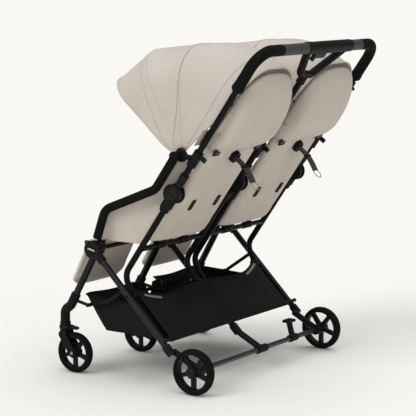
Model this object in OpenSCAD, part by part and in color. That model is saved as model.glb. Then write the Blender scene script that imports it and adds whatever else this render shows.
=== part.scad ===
// Side by side double stroller with a folding tube frame, two seats and two canopies.
// The front is -Y, the handle is towards +Y and the floor is z = 0. Sizes in millimetres.

/* [Wheels] */
// Rear wheel diameter
rear_wheel_d = 140; // [130:1:146]
// Rear tyre width
rear_tyre_w = 30; // [24:1:32]
// Front wheel diameter
front_wheel_d = 128; // [112:1:130]
// Front tyre width
front_tyre_w = 24; // [20:1:26]
// Tyre thickness from tread to rim
tyre_t = 12; // [8:1:14]
// Spokes in each rim
spokes = 5; // [4:1:7]
// Rear wheels outside the rear legs
wheel_out = 8; // [6:1:14]
// Rear axle behind the origin
rear_axle_y = 153; // [148:1:165]
// Caster swivel axes ahead of the origin
swivel_y = -355; // [-360:1:-348]
// Wheel axle behind the swivel axis
caster_trail = 39; // [36:1:42]

/* [Frame] */
// Main hub ahead of the origin
hub_y = -224; // [-228:1:-220]
// Height of the main hub
hub_z = 402; // [398:1:406]
// Slope of the rear legs below the horizontal
rear_leg_angle = 45; // [44:0.5:46]
// Rear leg length from the hub
rear_leg_length = 405; // [398:1:410]
// Rear leg tube diameter
leg_d = 20; // [18:0.5:20]
// Wall of the leg tubes
leg_wall = 1.6; // [1.2:0.1:2.5]
// Distance between the middle planes of the outer rear legs
leg_span = 732; // [728:1:736]
// Forward lean of the front legs from the vertical
front_leg_lean = 29.5; // [28.5:0.5:30.5]
// Front leg length from the hub
front_leg_length = 217; // [212:1:222]
// Front leg tube diameter
front_leg_d = 22; // [20:0.5:22]
// Outer front legs inside the rear legs
front_inset = 21; // [20.5:0.5:21.5]
// Outer push tubes inside the rear legs
tube_inset = 21; // [20.5:0.5:21.5]
// Push tube diameter
tube_d = 19; // [17:0.5:19]
// Rearward lean of the push tubes from the vertical
tube_lean = 35; // [34.5:0.5:35.5]
// Seat crossbar ahead of the origin
seat_bar_y = -62; // [-64:1:-60]
// Height of the seat crossbar
seat_bar_z = 414; // [412:1:418]
// Seat crossbar diameter
seat_bar_d = 16; // [14:0.5:17]
// Side offset of the two middle back tubes
inner_tube_x = 22; // [21.5:0.5:24]
// Knee of the back tubes below the seat crossbar
knee_drop = 103; // [98:1:108]
// Bend radius of the knee
knee_r = 45; // [35:1:50]
// Low pivot of the back tubes along the rear leg
pivot_reach = 187; // [185:1:189]
// Fold hinge along the push tube from the seat crossbar
hinge_reach = 218; // [216:1:220]
// Canopy and armrest mount along the push tube
mount_reach = 323; // [321:1:325]
// Mount axis ahead of the push tube
mount_offset = 51; // [49:1:53]
// Armrest pad diameter
armrest_d = 27; // [22:1:28]
// Bend radius of the armrests
armrest_bend_r = 45; // [35:1:55]

/* [Handle] */
// Handlebar axis along the push tube from the seat crossbar
handle_reach = 738; // [730:1:750]
// Handlebar tube diameter
bar_d = 22; // [19:0.5:24]
// Bend radius of the handlebar corners
bar_bend_r = 62; // [52:1:70]
// Grip diameter
grip_d = 34; // [30:1:36]
// Length of the grips down the push tubes
grip_len = 141; // [134:1:148]
// Left end of the middle housing
housing_left = 90; // [80:1:100]
// Right end of the middle housing
housing_right = -165; // [-175:1:-150]
// Housing diameter
housing_d = 38; // [36:1:42]
// Bar of the V bracket under the housing
v_bar_d = 24; // [20:1:25]

/* [Seats] */
// Room from each side of the seat base to the push tube axis
seat_gap = 17.5; // [16.5:0.5:26]
// Depth of the seat base
seat_depth = 214; // [200:2:218]
// Thickness of the seat base
seat_t = 34; // [28:1:38]
// Seat back narrower than the base on each side
back_in = 2; // [1:1:9]
// Head end of the seat backs below the handlebar axis
head_gap = 92; // [90:2:106]
// Depth of the head end behind the tube plane
back_bulge = 78; // [66:1:82]
// Depth of the lower back behind the tube plane
back_thick = 20; // [16:1:24]
// Leg rest length
leg_rest_h = 176; // [152:1:180]
// Leg rest thickness
leg_rest_t = 26; // [22:1:30]

/* [Canopy] */
// Canopy bows narrower than the seat base on each side
bow_in = 4; // [3:1:6]
// Rear edge of the covers below the handlebar axis
canopy_gap = 81; // [75:1:87]
// Front bow longer than the rear edge
front_bow_rise = 1; // [0:1:6]
// Middle bow shorter than the rear edge
mid_bow_drop = 25; // [19:1:29]
// Visor edge beyond the front bow
visor_lip = 12; // [6:1:16]
// Angle of the front bow above the rear horizontal
front_bow_deg = 119; // [117:1:121]
// Angle of the middle bow
mid_bow_deg = 93; // [91:1:95]
// Angle of the rear edge of the cover
rear_edge_deg = 47; // [46:1:52]
// Angle of the visor edge
visor_deg = 143; // [141:1:145]
// Corner radius of the bows
bow_corner_r = 108; // [96:1:114]
// Bow rod diameter
bow_d = 7; // [6:0.5:8]
// Cover thickness
cover_t = 3; // [2:0.5:4]

/* [Basket] */
// Basket tub inside the rear legs
basket_gap = 51; // [50:1:66]
// Height of the basket floor
basket_z = 138; // [136:1:146]
// Wall of the basket
basket_t = 3; // [2:0.5:4]
// Depth of the scoop in the rear panel
scoop_drop = 12; // [6:1:20]

/* [Hidden] */
$fn = 64;
// running clearance on pins, side play between plates, overrun of cuts
fit = 0.05;
play = 0.5;
over = 2;

// named shares used for round forms
half_share = 1 / 2;
third_share = 1 / 3;
edge_share = 0.34;
waist_share = 0.035;
head_share = 0.7;
head_start_share = 0.78;
corner_share = 0.22;
corner_start_share = 0.6;
head_mid_share = 0.8;
head_span_share = 0.2;
slider_share = 0.556;
front_share = 0.19;
round_start_share = 0.86;
round_end_share = 0.3;
lip_rise_share = 2;

// pins and lugs
hub_pin_d = 10;
low_pin_d = 8;
hinge_pin_d = 10;
mount_pin_d = 8;
brace_pin_d = 6;
stem_d = 12;
axle_d = 10;
lug_d = 40;
lug_t = 10.5;
ear_t = 4.5;
neck_d = 10;
hub_cover_d = 54;
hub_cover_t = 22;
sleeve_wall = 3.5;

// directions in the side plane, as [y, z]
tube_dir = [sin(tube_lean), cos(tube_lean)];
tube_fwd = [-cos(tube_lean), sin(tube_lean)];
leg_dir = [cos(rear_leg_angle), -sin(rear_leg_angle)];
leg_up = [sin(rear_leg_angle), cos(rear_leg_angle)];
front_dir = [-sin(front_leg_lean), -cos(front_leg_lean)];

// pivots in the side plane
hub = [hub_y, hub_z];
seat_bar = [seat_bar_y, seat_bar_z];
hinge = seat_bar + tube_dir * hinge_reach;
mount = seat_bar + tube_dir * mount_reach + tube_fwd * mount_offset;
low_pivot = hub + leg_dir * pivot_reach;
knee = seat_bar - tube_dir * knee_drop;
rear_axle = [rear_axle_y, rear_wheel_d / 2];
front_axle = [swivel_y + caster_trail, front_wheel_d / 2];
leg_end = hub + leg_dir * rear_leg_length;

// side planes
leg_x = leg_span / 2;
tube_x = leg_x - tube_inset;
front_x = leg_x - front_inset;
wheel_x = leg_x + wheel_out;
seat_in = 1;
seat_x = (tube_x + inner_tube_x - seat_in) / 2;
seat_w = tube_x - inner_tube_x - 2 * seat_gap;
back_w = seat_w - 2 * back_in;
bow_half_w = seat_w / 2 - bow_in;
basket_half_w = leg_x - basket_gap;
front_lug_x = front_x - front_leg_d / 2;
arm_lug_x = front_lug_x + lug_t + play;
hub_x = arm_lug_x + lug_t + 2 * play;
hub_outer_x = hub_x + hub_cover_t;
arm_x = arm_lug_x + lug_t + armrest_d / 2 - lug_t / 2;
mid_hub_x = leg_d / 2 + sleeve_wall;
mid_front_x = mid_hub_x + play;
mid_arm_x = mid_front_x + ear_t + play;
mid_pin_x = mid_arm_x + ear_t + over;

// reaches along the push tube and from the canopy pivots
grip_reach = handle_reach - grip_len;
back_start = 24;
back_h = handle_reach - head_gap - back_start;
rear_edge_r = handle_reach - mount_reach - canopy_gap;
mid_bow_r = rear_edge_r - mid_bow_drop;
front_bow_r = rear_edge_r + front_bow_rise;
visor_r = front_bow_r + visor_lip;

// brace layers beside the back tubes
brace_t = 5;
brace_d = 11;
rod_off = tube_d / 2 + play + brace_t / 2;
bar_off = rod_off + brace_t + play;
brace_foot = [-263, 220];
brace_knuckle = [-197, 236];
brace_top = [-109, 297];

// hinge layers
cheek_in = 10.5;
cheek_t = 4;
cheek_d = 60;
cheek_out = cheek_in + cheek_t;
tongue_half = 10;
tongue_d = 52;
tube_gap = 28;
sleeve_start = 32;
knuckle_end = 66;
neck_end = 43;
lock_start = 45;
lock_len = 26;
block_len = 52;
block_rise = 27;
block_reach = mount_reach + block_rise;
block_d = 29;
mount_disc_d = 30;
mid_mount_disc_d = 26;

// laps that keep joined round forms from meeting on one face
lap = 1;
lap_step = 0.2;

function at(x, p) = [x, p[0], p[1]];
function unit(v) = v / norm(v);
function on_tube(u) = seat_bar + tube_dir * u;
function on_leg(s) = hub + leg_dir * s;
function on_front(s) = hub + front_dir * s;
function polar(r, deg) = mount + r * [cos(deg), sin(deg)];
function turn(a, b, c) = 180 - acos(unit(a - b) * unit(c - b));
function setback(a, b, c, r) = r * tan(turn(a, b, c) / 2);
function clamp(t) = max(0, min(1, t));

// straight round bar between two points
module rod(a, b, d) {
    v = b - a;
    translate(a)
        rotate([0, acos(v[2] / norm(v)), atan2(v[1], v[0])])
            cylinder(h = norm(v), d = d);
}

// round disc across the part, from x0 to x1
module disc(x0, x1, p, d) {
    translate(at(x0, p))
        rotate([0, 90, 0])
            cylinder(h = x1 - x0, d = d);
}

// flat bar with round ends in the side plane
module link(x0, x1, p, q, d) {
    v = q - p;
    translate(at(x0, p))
        rotate([90, 0, 90])
            linear_extrude(height = x1 - x0) {
                circle(d = d);
                translate(v)
                    circle(d = d);
                rotate(atan2(v[1], v[0]))
                    translate([0, lap_step - d / 2])
                        square([norm(v), d - 2 * lap_step]);
            }
}

// bend between two straight runs
module elbow(a, b, c, r, d) {
    u = unit(a - b);
    v = unit(c - b);
    phi = turn(a, b, c);
    o = b + unit(u + v) * (r / cos(phi / 2));
    ex = unit(b + u * (r * tan(phi / 2)) - o);
    ey = -u;
    ez = cross(ex, ey);
    multmatrix([
        [ex[0], ey[0], ez[0], o[0]],
        [ex[1], ey[1], ez[1], o[1]],
        [ex[2], ey[2], ez[2], o[2]]
    ])
        rotate_extrude(angle = phi)
            translate([r, 0])
                circle(d = d);
}

// round tube along points, with bends of one radius that lap a little into the straight runs
module tube_run(pts, r, d) {
    n = len(pts);
    for (i = [0 : n - 2]) {
        v = unit(pts[i + 1] - pts[i]);
        a = i == 0 ? pts[0] : pts[i] + v * (setback(pts[i - 1], pts[i], pts[i + 1], r) - lap);
        b = i == n - 2 ? pts[n - 1] : pts[i + 1] - v * (setback(pts[i], pts[i + 1], pts[i + 2], r) - lap);
        rod(a, b, d);
    }
    if (n > 2)
        for (i = [1 : n - 2])
            elbow(pts[i - 1], pts[i], pts[i + 1], r, d - lap_step);
}

module both_sides() {
    children();
    mirror([1, 0, 0])
        children();
}

// closed solid between two grids of points
module shell(top, bottom) {
    n = len(top) - 1;
    m = len(top[0]) - 1;
    w = m + 1;
    base = (n + 1) * w;
    points = concat([for (row = top) each row], [for (row = bottom) each row]);
    upper = [for (i = [0 : n - 1]) for (j = [0 : m - 1]) each [
        [i * w + j, i * w + j + 1, (i + 1) * w + j + 1],
        [i * w + j, (i + 1) * w + j + 1, (i + 1) * w + j]
    ]];
    lower = [for (f = upper) [f[2] + base, f[1] + base, f[0] + base]];
    rim = concat(
        [for (j = [0 : m]) j],
        [for (i = [1 : n]) i * w + m],
        [for (j = [m - 1 : -1 : 0]) n * w + j],
        [for (i = [n - 1 : -1 : 1]) i * w]
    );
    k = len(rim);
    wall = [for (i = [0 : k - 1]) each [
        [rim[i], rim[i] + base, rim[(i + 1) % k] + base],
        [rim[i], rim[(i + 1) % k] + base, rim[(i + 1) % k]]
    ]];
    polyhedron(points = points, faces = concat(upper, lower, wall));
}

// rear frame

// three straight rear legs
leg_start = 18;
module rear_legs() {
    color("#3f4144")
        for (x = [-leg_x, 0, leg_x])
            difference() {
                rod(at(x, on_leg(leg_start)), at(x, leg_end), leg_d);
                rod(at(x, on_leg(leg_start - over)), at(x, on_leg(rear_leg_length + over)),
                    leg_d - 2 * leg_wall);
                disc(x - leg_d, x + leg_d, low_pivot, low_pin_d + 2 * fit);
            }
}

axle_tube_d = 16;
axle_tube_half = 345;
module rear_axle_tube() {
    color("#8d9093")
        difference() {
            disc(-axle_tube_half, axle_tube_half, rear_axle, axle_tube_d);
            disc(-axle_tube_half - over, axle_tube_half + over, rear_axle, axle_tube_d - 2 * leg_wall);
        }
}

// cross bar at the lower edge of the basket, lying on the legs
basket_bar_d = 12;
basket_bar_back = 35;
basket_bar_reach = rear_leg_length - basket_bar_back;
basket_bar_p = on_leg(basket_bar_reach) + leg_up * (leg_d + basket_bar_d) / 2;
module basket_bar() {
    color("#2a2b2d")
        disc(-leg_x - leg_d / 2, leg_x + leg_d / 2, basket_bar_p, basket_bar_d);
}

// round hub covers with a socket for the rear leg
socket_len = 50;
socket_d = leg_d + 2 * sleeve_wall;
module hub_body(x0, x1, x, d, start) {
    difference() {
        union() {
            disc(x0, x1, hub, d);
            rod(at(x, on_leg(start)), at(x, on_leg(socket_len)), socket_d);
        }
        rod(at(x, on_leg(leg_start)), at(x, on_leg(socket_len + over)), leg_d + 2 * fit);
        disc(x0 - over, x1 - (x1 > leg_x ? over : -over), hub, hub_pin_d + 2 * fit);
    }
}
mid_cover_d = 34;
module hub_housings() {
    color("#1f2022") {
        both_sides()
            hub_body(hub_x, hub_outer_x, leg_x, hub_cover_d, lug_d / 2 + over);
        hub_body(-mid_hub_x, mid_hub_x, 0, mid_cover_d, 0);
    }
}

// hub pins and the low pivot pins of the back tubes
pin_lip = 3;
module pivot_pins() {
    color("#9a9da0") {
        both_sides() {
            disc(front_lug_x - pin_lip, hub_outer_x - over - play, hub, hub_pin_d);
            disc(tube_x - tube_d / 2 - pin_lip, leg_x, low_pivot, low_pin_d);
        }
        disc(-mid_pin_x, mid_pin_x, hub, hub_pin_d);
        mid_low_x = inner_tube_x + tube_d / 2 + pin_lip;
        disc(-mid_low_x, mid_low_x, low_pivot, low_pin_d);
    }
}

// rear wheel brackets: sleeve on the leg, arm inside the wheel, boss and stub axle
wheel_play = 2;
boss_d = 34;
boss_len = 26;
arm_d = 20;
boss_out = wheel_x - rear_tyre_w / 2 - wheel_play;
bracket_start = basket_bar_reach + basket_bar_d;
bracket_cap = 7;
arm_in = 18;
axle_cap_t = 2;
module rear_wheel_brackets() {
    color("#1f2022")
        both_sides()
            difference() {
                union() {
                    rod(at(leg_x, on_leg(bracket_start)),
                        at(leg_x, on_leg(rear_leg_length + bracket_cap)), socket_d);
                    rod(at(boss_out - boss_len / 2, rear_axle),
                        at(leg_x - arm_in, on_leg(rear_leg_length - lap)), arm_d);
                    disc(boss_out - boss_len, boss_out, rear_axle, boss_d);
                    disc(boss_out - over, wheel_x + rear_tyre_w / 2, rear_axle, axle_d);
                }
                rod(at(leg_x, on_leg(bracket_start - over)), at(leg_x, leg_end), leg_d + 2 * fit);
                disc(boss_out - boss_len - over, axle_tube_half + fit, rear_axle, axle_tube_d + 2 * fit);
            }
}

// arm from the centre leg to a sleeve on the axle tube
tee_half = 26;
tee_d = 25;
module axle_tee() {
    color("#2a2b2d")
        difference() {
            union() {
                rod(at(0, on_leg(bracket_start)), at(0, on_leg(rear_leg_length + bracket_cap)), socket_d);
                rod(at(0, leg_end), at(0, rear_axle), arm_d);
                disc(-tee_half, tee_half, rear_axle, tee_d);
            }
            rod(at(0, on_leg(bracket_start - over)), at(0, leg_end), leg_d + 2 * fit);
            disc(-tee_half - over, tee_half + over, rear_axle, axle_tube_d + 2 * fit);
        }
}

// fabric basket: open tub with a scooped rear panel on the rear legs
panel_top = 206;
panel_off = leg_d / 2 + play;
panel_half = leg_x - socket_d / 2 - play;
basket_front_top = [-254, 202];
basket_front_low = [-217, basket_z];
lobe_front_top = [-308, 244];
lobe_front_low = [-227, basket_z];
lobe_in = 54;
function panel(s) = on_leg(s) + leg_up * panel_off;
basket_low = on_leg(basket_bar_reach - basket_bar_d - over) - leg_up * panel_off;
basket_rear_top = on_leg(panel_top + scoop_drop) - leg_up * panel_off;
module tub_run(x0, x1, front_top, front_low, t) {
    translate([x0, 0, 0])
        rotate([90, 0, 90])
            linear_extrude(height = x1 - x0)
                polygon([
                    front_top + [t, lip_rise_share * t],
                    front_low + [t * half_share, t],
                    [basket_low[0] - 2 * t, basket_z + t],
                    basket_low - leg_up * t,
                    basket_rear_top - leg_up * t + [0, lip_rise_share * t]
                ]);
}
// the front stands further forward on each side of the middle leg
module tub(t) {
    tub_run(-lobe_in - t - lap, lobe_in + t + lap, basket_front_top, basket_front_low, t);
    both_sides()
        tub_run(lobe_in + t, basket_half_w - t, lobe_front_top, lobe_front_low, t);
}
scoop_n = 24;
function scoop_s(x) = panel_top + scoop_drop * pow(sin(180 * abs(x) / panel_half), 2);
module basket() {
    color("#1d1e20") {
        difference() {
            tub(0);
            tub(basket_t);
        }
        panel_grid = [for (d = [0, basket_t])
            [for (k = [0, 1]) [for (i = [0 : scoop_n])
                let (x = panel_half * (2 * i / scoop_n - 1),
                     s = k == 0 ? basket_bar_reach - basket_bar_d : scoop_s(x))
                at(x, panel(s) + leg_up * d)]]];
        shell(panel_grid[1], panel_grid[0]);
    }
}

// padded seat base with a crown, drawn-in sides and a soft front edge
seat_rear_y = -76;
seat_z = 426;
seat_n = 14;
function puff(u, v) = pow(max(0, 1 - pow(abs(u), 3)) * max(0, 1 - pow(abs(v), 3)), half_share);
function seat_corner(v) =
    1 - corner_share * pow(clamp((-v - corner_start_share) / (1 - corner_start_share)), 2);
function seat_pt(u, v, side) =
    let (w = seat_w / 2 * (1 - waist_share * cos(90 * v)) * seat_corner(v),
         y = seat_rear_y - seat_depth / 2 + v * seat_depth / 2 * (1 - waist_share * cos(90 * u)),
         t = seat_t * (edge_share + (1 - edge_share) * puff(u, v)))
    [u * w, y, side > 0 ? seat_z + t : seat_z];
module seat_pad(x) {
    grids = [for (side = [-1, 1]) [for (i = [0 : seat_n]) [for (j = [0 : seat_n])
        seat_pt(2 * j / seat_n - 1, 2 * i / seat_n - 1, side)]]];
    translate([x, 0, 0])
        shell(grids[0], grids[1]);
}
module seat_base_left() {
    color("#b3a99c")
        seat_pad(seat_x);
}
module seat_base_right() {
    color("#b3a99c")
        seat_pad(-seat_x);
}

// fabric side panels between the armrests, the seat and the tubes
side_t = 2;
side_x = tube_x - cheek_out - play - side_t;
mid_side_x = inner_tube_x + cheek_out;
armrest_bend_low = [-180, 528];
armrest_bend_high = [8, 603];
side_low_z = seat_z;
side_front_y = -205;
side_gap = 18;
side_top = 34;
module side_sheet(x) {
    translate([x, 0, 0])
        rotate([90, 0, 90])
            linear_extrude(height = side_t)
                polygon([
                    [side_front_y, side_low_z],
                    armrest_bend_low + [side_gap, -side_gap],
                    armrest_bend_high + [side_gap * third_share, -side_gap],
                    mount - [0, side_top],
                    on_tube(block_reach - block_len) + tube_fwd * side_gap,
                    on_tube(side_gap) + tube_fwd * side_gap
                ]);
}
module side_panels() {
    color("#b8aea1")
        both_sides() {
            side_sheet(side_x);
            side_sheet(mid_side_x);
        }
}

// hinge of the leg rests, held by two arms of each seat rail
leg_rest_lean = 27;
leg_dir_down = [-sin(leg_rest_lean), -cos(leg_rest_lean)];
leg_face = [-cos(leg_rest_lean), sin(leg_rest_lean)];
leg_rest_n = 12;
leg_pin_len = 10;
leg_rest_w = seat_w - 2 * leg_pin_len;
leg_pin_d = 6;
leg_pin_in = 4;
leg_pin_drop = 14;
leg_p = [seat_rear_y - seat_depth + leg_pin_in, seat_z - leg_pin_drop];
leg_top = 7;
eye_t = 6;
eye_d = 13;
eye_gap = 1;
eye_in = leg_rest_w / 2 + eye_gap;

// front seat rails between the hubs, with blocks that carry the pad
rail_d = 14;
rail_block_w = 12;
rail_block_l = 22;
rail_in = mid_pin_x;
rail_out = front_lug_x - pin_lip;
module seat_rails() {
    color("#232426")
        both_sides()
            difference() {
                union() {
                    disc(rail_in, rail_out, hub, rail_d);
                    for (x = [rail_in, rail_out - rail_block_w])
                        translate([x, hub_y - rail_block_l / 2, hub_z])
                            cube([rail_block_w, rail_block_l, seat_z - play - hub_z]);
                    for (x = [seat_x - eye_in - eye_t, seat_x + eye_in])
                        link(x, x + eye_t, hub, leg_p, eye_d);
                }
                disc(rail_in - over, rail_out + over, leg_p, leg_pin_d + 2 * fit);
            }
}

// front frame

front_start = 31;
mid_front_start = 38;
module front_legs() {
    color("#3f4144") {
        both_sides()
            difference() {
                union() {
                    disc(front_lug_x, front_lug_x + lug_t, hub, lug_d);
                    rod(at(front_lug_x + lug_t / 2, hub),
                        at(front_lug_x + lug_t / 2, on_front(front_start + over)), neck_d);
                    rod(at(front_x, on_front(front_start)),
                        at(front_x, on_front(front_leg_length)), front_leg_d);
                }
                disc(front_lug_x - over, front_lug_x + lug_t + over, hub, hub_pin_d + 2 * fit);
            }
        difference() {
            union() {
                for (s = [-1, 1])
                    translate([s * (mid_front_x + ear_t / 2), 0, 0])
                        link(-ear_t / 2, ear_t / 2, hub, on_front(front_start + neck_d / 2), neck_d + lug_t);
                disc(-mid_front_x - ear_t, mid_front_x + ear_t, on_front(front_start + neck_d / 2), neck_d);
                rod(at(0, on_front(mid_front_start)), at(0, on_front(front_leg_length)), front_leg_d);
            }
            disc(-mid_arm_x, mid_arm_x, hub, hub_pin_d + 2 * fit);
        }
    }
}

// caster housings: sleeve on the leg, upright swivel housing and brace lug
crown_room = 7;
housing_low = front_wheel_d + crown_room;
caster_d = 32;
caster_top = 60;
caster_sleeve = 42;
caster_bend_r = 24;
collar_h = 22;
caster_line = [
    on_front(front_leg_length - caster_sleeve),
    on_front(front_leg_length),
    [swivel_y, housing_low + caster_top],
    [swivel_y, housing_low]
];
stem_len = 46;
lug_arm_d = 12;
lock_back = 22;
lock_up = 9;
lock_p = [swivel_y + lock_back, housing_low + lock_up];
lock_d = 9;
lock_pin_d = 4;
lock_half = 6;
lock_ear = 3;
side_bar_x = tube_x - bar_off;
mid_bar_x = inner_tube_x + bar_off;
module caster_housing(x, lug_in, lug_out, pin_in, pin_out) {
    difference() {
        union() {
            tube_run([for (q = caster_line) at(x, q)], caster_bend_r, caster_d - over);
            translate([x, swivel_y, housing_low])
                cylinder(h = collar_h, d = caster_d + over);
            rod(at(x, on_front(front_leg_length - caster_sleeve / 2)), at(x, brace_foot), lug_arm_d - over);
            disc(lug_in, lug_out, brace_foot, lug_arm_d);
            disc(pin_in, pin_out, brace_foot, brace_pin_d);
            for (e = [-lock_half - play - lock_ear, lock_half + play])
                link(x + e, x + e + lock_ear, [swivel_y, lock_p[1]], lock_p, lock_d);
            disc(x - lock_half - lock_ear, x + lock_half + lock_ear, lock_p, lock_pin_d);
        }
        rod(at(x, on_front(front_leg_length - caster_sleeve - over)),
            at(x, on_front(front_leg_length)), front_leg_d + 2 * fit);
        translate([x, swivel_y, housing_low - over])
            cylinder(h = stem_len + 2 * over, d = stem_d + 2 * fit);
    }
}
module caster_housings() {
    lug_end = side_bar_x + brace_t / 2 + play;
    lug_back = front_x + lug_arm_d / 2;
    mid_end = mid_bar_x - brace_t / 2 - play;
    color("#242527") {
        both_sides()
            caster_housing(front_x, lug_end, lug_back, side_bar_x - brace_t, front_x);
        caster_housing(0, -mid_end, mid_end, -mid_bar_x - brace_t, mid_bar_x + brace_t);
    }
}

// brace linkage

// bars from the caster housings to the knuckles
// way is -1 inside the outer tubes and 1 outside the inner ones
module brace_bar(x, way) {
    b = x + way * bar_off;
    r = x + way * rod_off;
    difference() {
        union() {
            link(b - brace_t / 2, b + brace_t / 2, brace_foot, brace_knuckle, brace_d);
            disc(min(b, r) - brace_t / 2, max(b, r) + brace_t / 2, brace_knuckle, brace_pin_d);
        }
        disc(b - brace_t, b + brace_t, brace_foot, brace_pin_d + 2 * fit);
    }
}
module brace_bars() {
    color("#2b2c2e")
        both_sides() {
            brace_bar(tube_x, -1);
            brace_bar(inner_tube_x, 1);
        }
}
module brace_rod(x, way) {
    r = x + way * rod_off;
    difference() {
        link(r - brace_t / 2, r + brace_t / 2, brace_knuckle, brace_top, brace_d);
        disc(r - brace_t, r + brace_t, brace_knuckle, brace_pin_d + 2 * fit);
    }
}
module brace_rods() {
    color("#54575a")
        both_sides() {
            brace_rod(tube_x, -1);
            brace_rod(inner_tube_x, 1);
        }
}

// armrests

arm_start = 38;
mid_armrest_d = 21;
arm_dir = unit(armrest_bend_low - hub);
arm_foot = hub + arm_dir * arm_start;
arm_line = [arm_foot, armrest_bend_low, armrest_bend_high, mount];
module armrests() {
    color("#232426") {
        both_sides()
            difference() {
                union() {
                    disc(arm_lug_x, arm_lug_x + lug_t, hub, lug_d);
                    rod(at(arm_lug_x + lug_t / 2, hub),
                        at(arm_lug_x + lug_t / 2, arm_foot + arm_dir * over), neck_d);
                    tube_run([for (q = arm_line) at(arm_x, q)], armrest_bend_r, armrest_d);
                    disc(arm_x - armrest_d / 2, arm_x + armrest_d / 2, mount, armrest_d);
                }
                disc(arm_lug_x - over, arm_lug_x + lug_t + over, hub, hub_pin_d + 2 * fit);
            }
        difference() {
            union() {
                for (e = [-mid_arm_x - ear_t, mid_arm_x])
                    link(e, e + ear_t, hub, arm_foot, neck_d + lug_t);
                disc(-mid_arm_x - ear_t, mid_arm_x + ear_t, arm_foot, neck_d);
                tube_run([for (q = arm_line) at(0, q)], armrest_bend_r, mid_armrest_d);
                disc(-mid_armrest_d / 2, mid_armrest_d / 2, mount, mid_armrest_d);
            }
            disc(-mid_pin_x - over, mid_pin_x + over, hub, hub_pin_d + 2 * fit);
        }
    }
}

// back frame

low_lug_d = 26;
back_line = [hinge - tube_dir * tube_gap, knee, low_pivot];
module back_tubes() {
    color("#46484b")
        for (x = [-tube_x, -inner_tube_x, inner_tube_x, tube_x])
            difference() {
                union() {
                    tube_run([for (q = back_line) at(x, q)], knee_r, tube_d);
                    disc(x - tube_d / 2, x + tube_d / 2, low_pivot, low_lug_d);
                }
                disc(x - tube_d, x + tube_d, low_pivot, low_pin_d + 2 * fit);
            }
}

// crossbars under the seat backs, coped to the tubes
module seat_crossbars() {
    color("#46484b")
        both_sides()
            difference() {
                disc(inner_tube_x, tube_x, seat_bar, seat_bar_d);
                for (x = [inner_tube_x, tube_x])
                    rod(at(x, on_tube(-tube_d)), at(x, on_tube(tube_d)), tube_d + 2 * fit);
            }
}

// lower hinge halves: round cheeks, sleeves on the back tubes and the hinge pin
cheek_tail = 50;
cheek_tail_d = 26;
module knuckle(x, tubes, sleeve_d) {
    difference() {
        union() {
            for (e = [x - cheek_out, x + cheek_in]) {
                disc(e, e + cheek_t, hinge, cheek_d);
                link(e, e + cheek_t, hinge, on_tube(hinge_reach - cheek_tail), cheek_tail_d);
            }
            for (t = tubes)
                rod(at(t, on_tube(hinge_reach - knuckle_end)),
                    at(t, on_tube(hinge_reach - sleeve_start)), sleeve_d);
            disc(x - cheek_out, x + cheek_out, hinge, hinge_pin_d);
        }
        for (t = tubes)
            rod(at(t, on_tube(hinge_reach - knuckle_end - over)),
                at(t, on_tube(hinge_reach - tube_gap)), tube_d + 2 * fit);
    }
}
module hinge_knuckles() {
    color("#2b2c2e") {
        both_sides()
            knuckle(tube_x, [tube_x], 2 * cheek_out);
        knuckle(0, [-inner_tube_x, inner_tube_x], 2 * cheek_out - over);
    }
}

// handle frame

upper_start = 34;
neck_wide_d = 25;
module hinge_tongues() {
    color("#38393b")
        for (x = [-tube_x, 0, tube_x])
            difference() {
                union() {
                    disc(x - tongue_half, x + tongue_half, hinge, tongue_d);
                    rod(at(x, hinge), at(x, on_tube(hinge_reach + upper_start)), 2 * tongue_half - over);
                    rod(at(x, on_tube(hinge_reach + sleeve_start)),
                        at(x, on_tube(hinge_reach + neck_end)), neck_wide_d);
                }
                rod(at(x, on_tube(hinge_reach + upper_start)),
                    at(x, on_tube(hinge_reach + neck_end + over)), tube_d + 2 * fit);
                disc(x - cheek_in, x + cheek_in, hinge, hinge_pin_d + 2 * fit);
            }
}

// upper push tubes, the middle one ending in the V bracket
mid_tube_drop = 110;
mid_tube_top = handle_reach - mid_tube_drop;
tube_lap = 3;
module handle_tubes() {
    color("#4a4c4f") {
        for (x = [-tube_x, tube_x])
            rod(at(x, on_tube(hinge_reach + upper_start)), at(x, on_tube(grip_reach + tube_lap)), tube_d);
        rod(at(0, on_tube(hinge_reach + upper_start)), at(0, on_tube(mid_tube_top)), tube_d);
    }
}

bar_p = on_tube(handle_reach);
bar_start = on_tube(grip_reach + tube_lap + play);
module handlebar() {
    color("#3a3b3d")
        tube_run([at(tube_x, bar_start), at(tube_x, bar_p), at(-tube_x, bar_p), at(-tube_x, bar_start)],
            bar_bend_r, bar_d);
}

// foam grips round the corners of the handlebar
module grip(x, end) {
    way = x > 0 ? 1 : -1;
    difference() {
        tube_run([at(x, on_tube(grip_reach)), at(x, bar_p), at(end, bar_p)], bar_bend_r, grip_d);
        tube_run([at(x, on_tube(grip_reach - over)), at(x, bar_p), at(end - way * over, bar_p)],
            bar_bend_r, bar_d + 2 * fit);
    }
}
module grips() {
    color("#2e2f31") {
        grip(tube_x, housing_left + play);
        grip(-tube_x, housing_right - play);
    }
}

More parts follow.
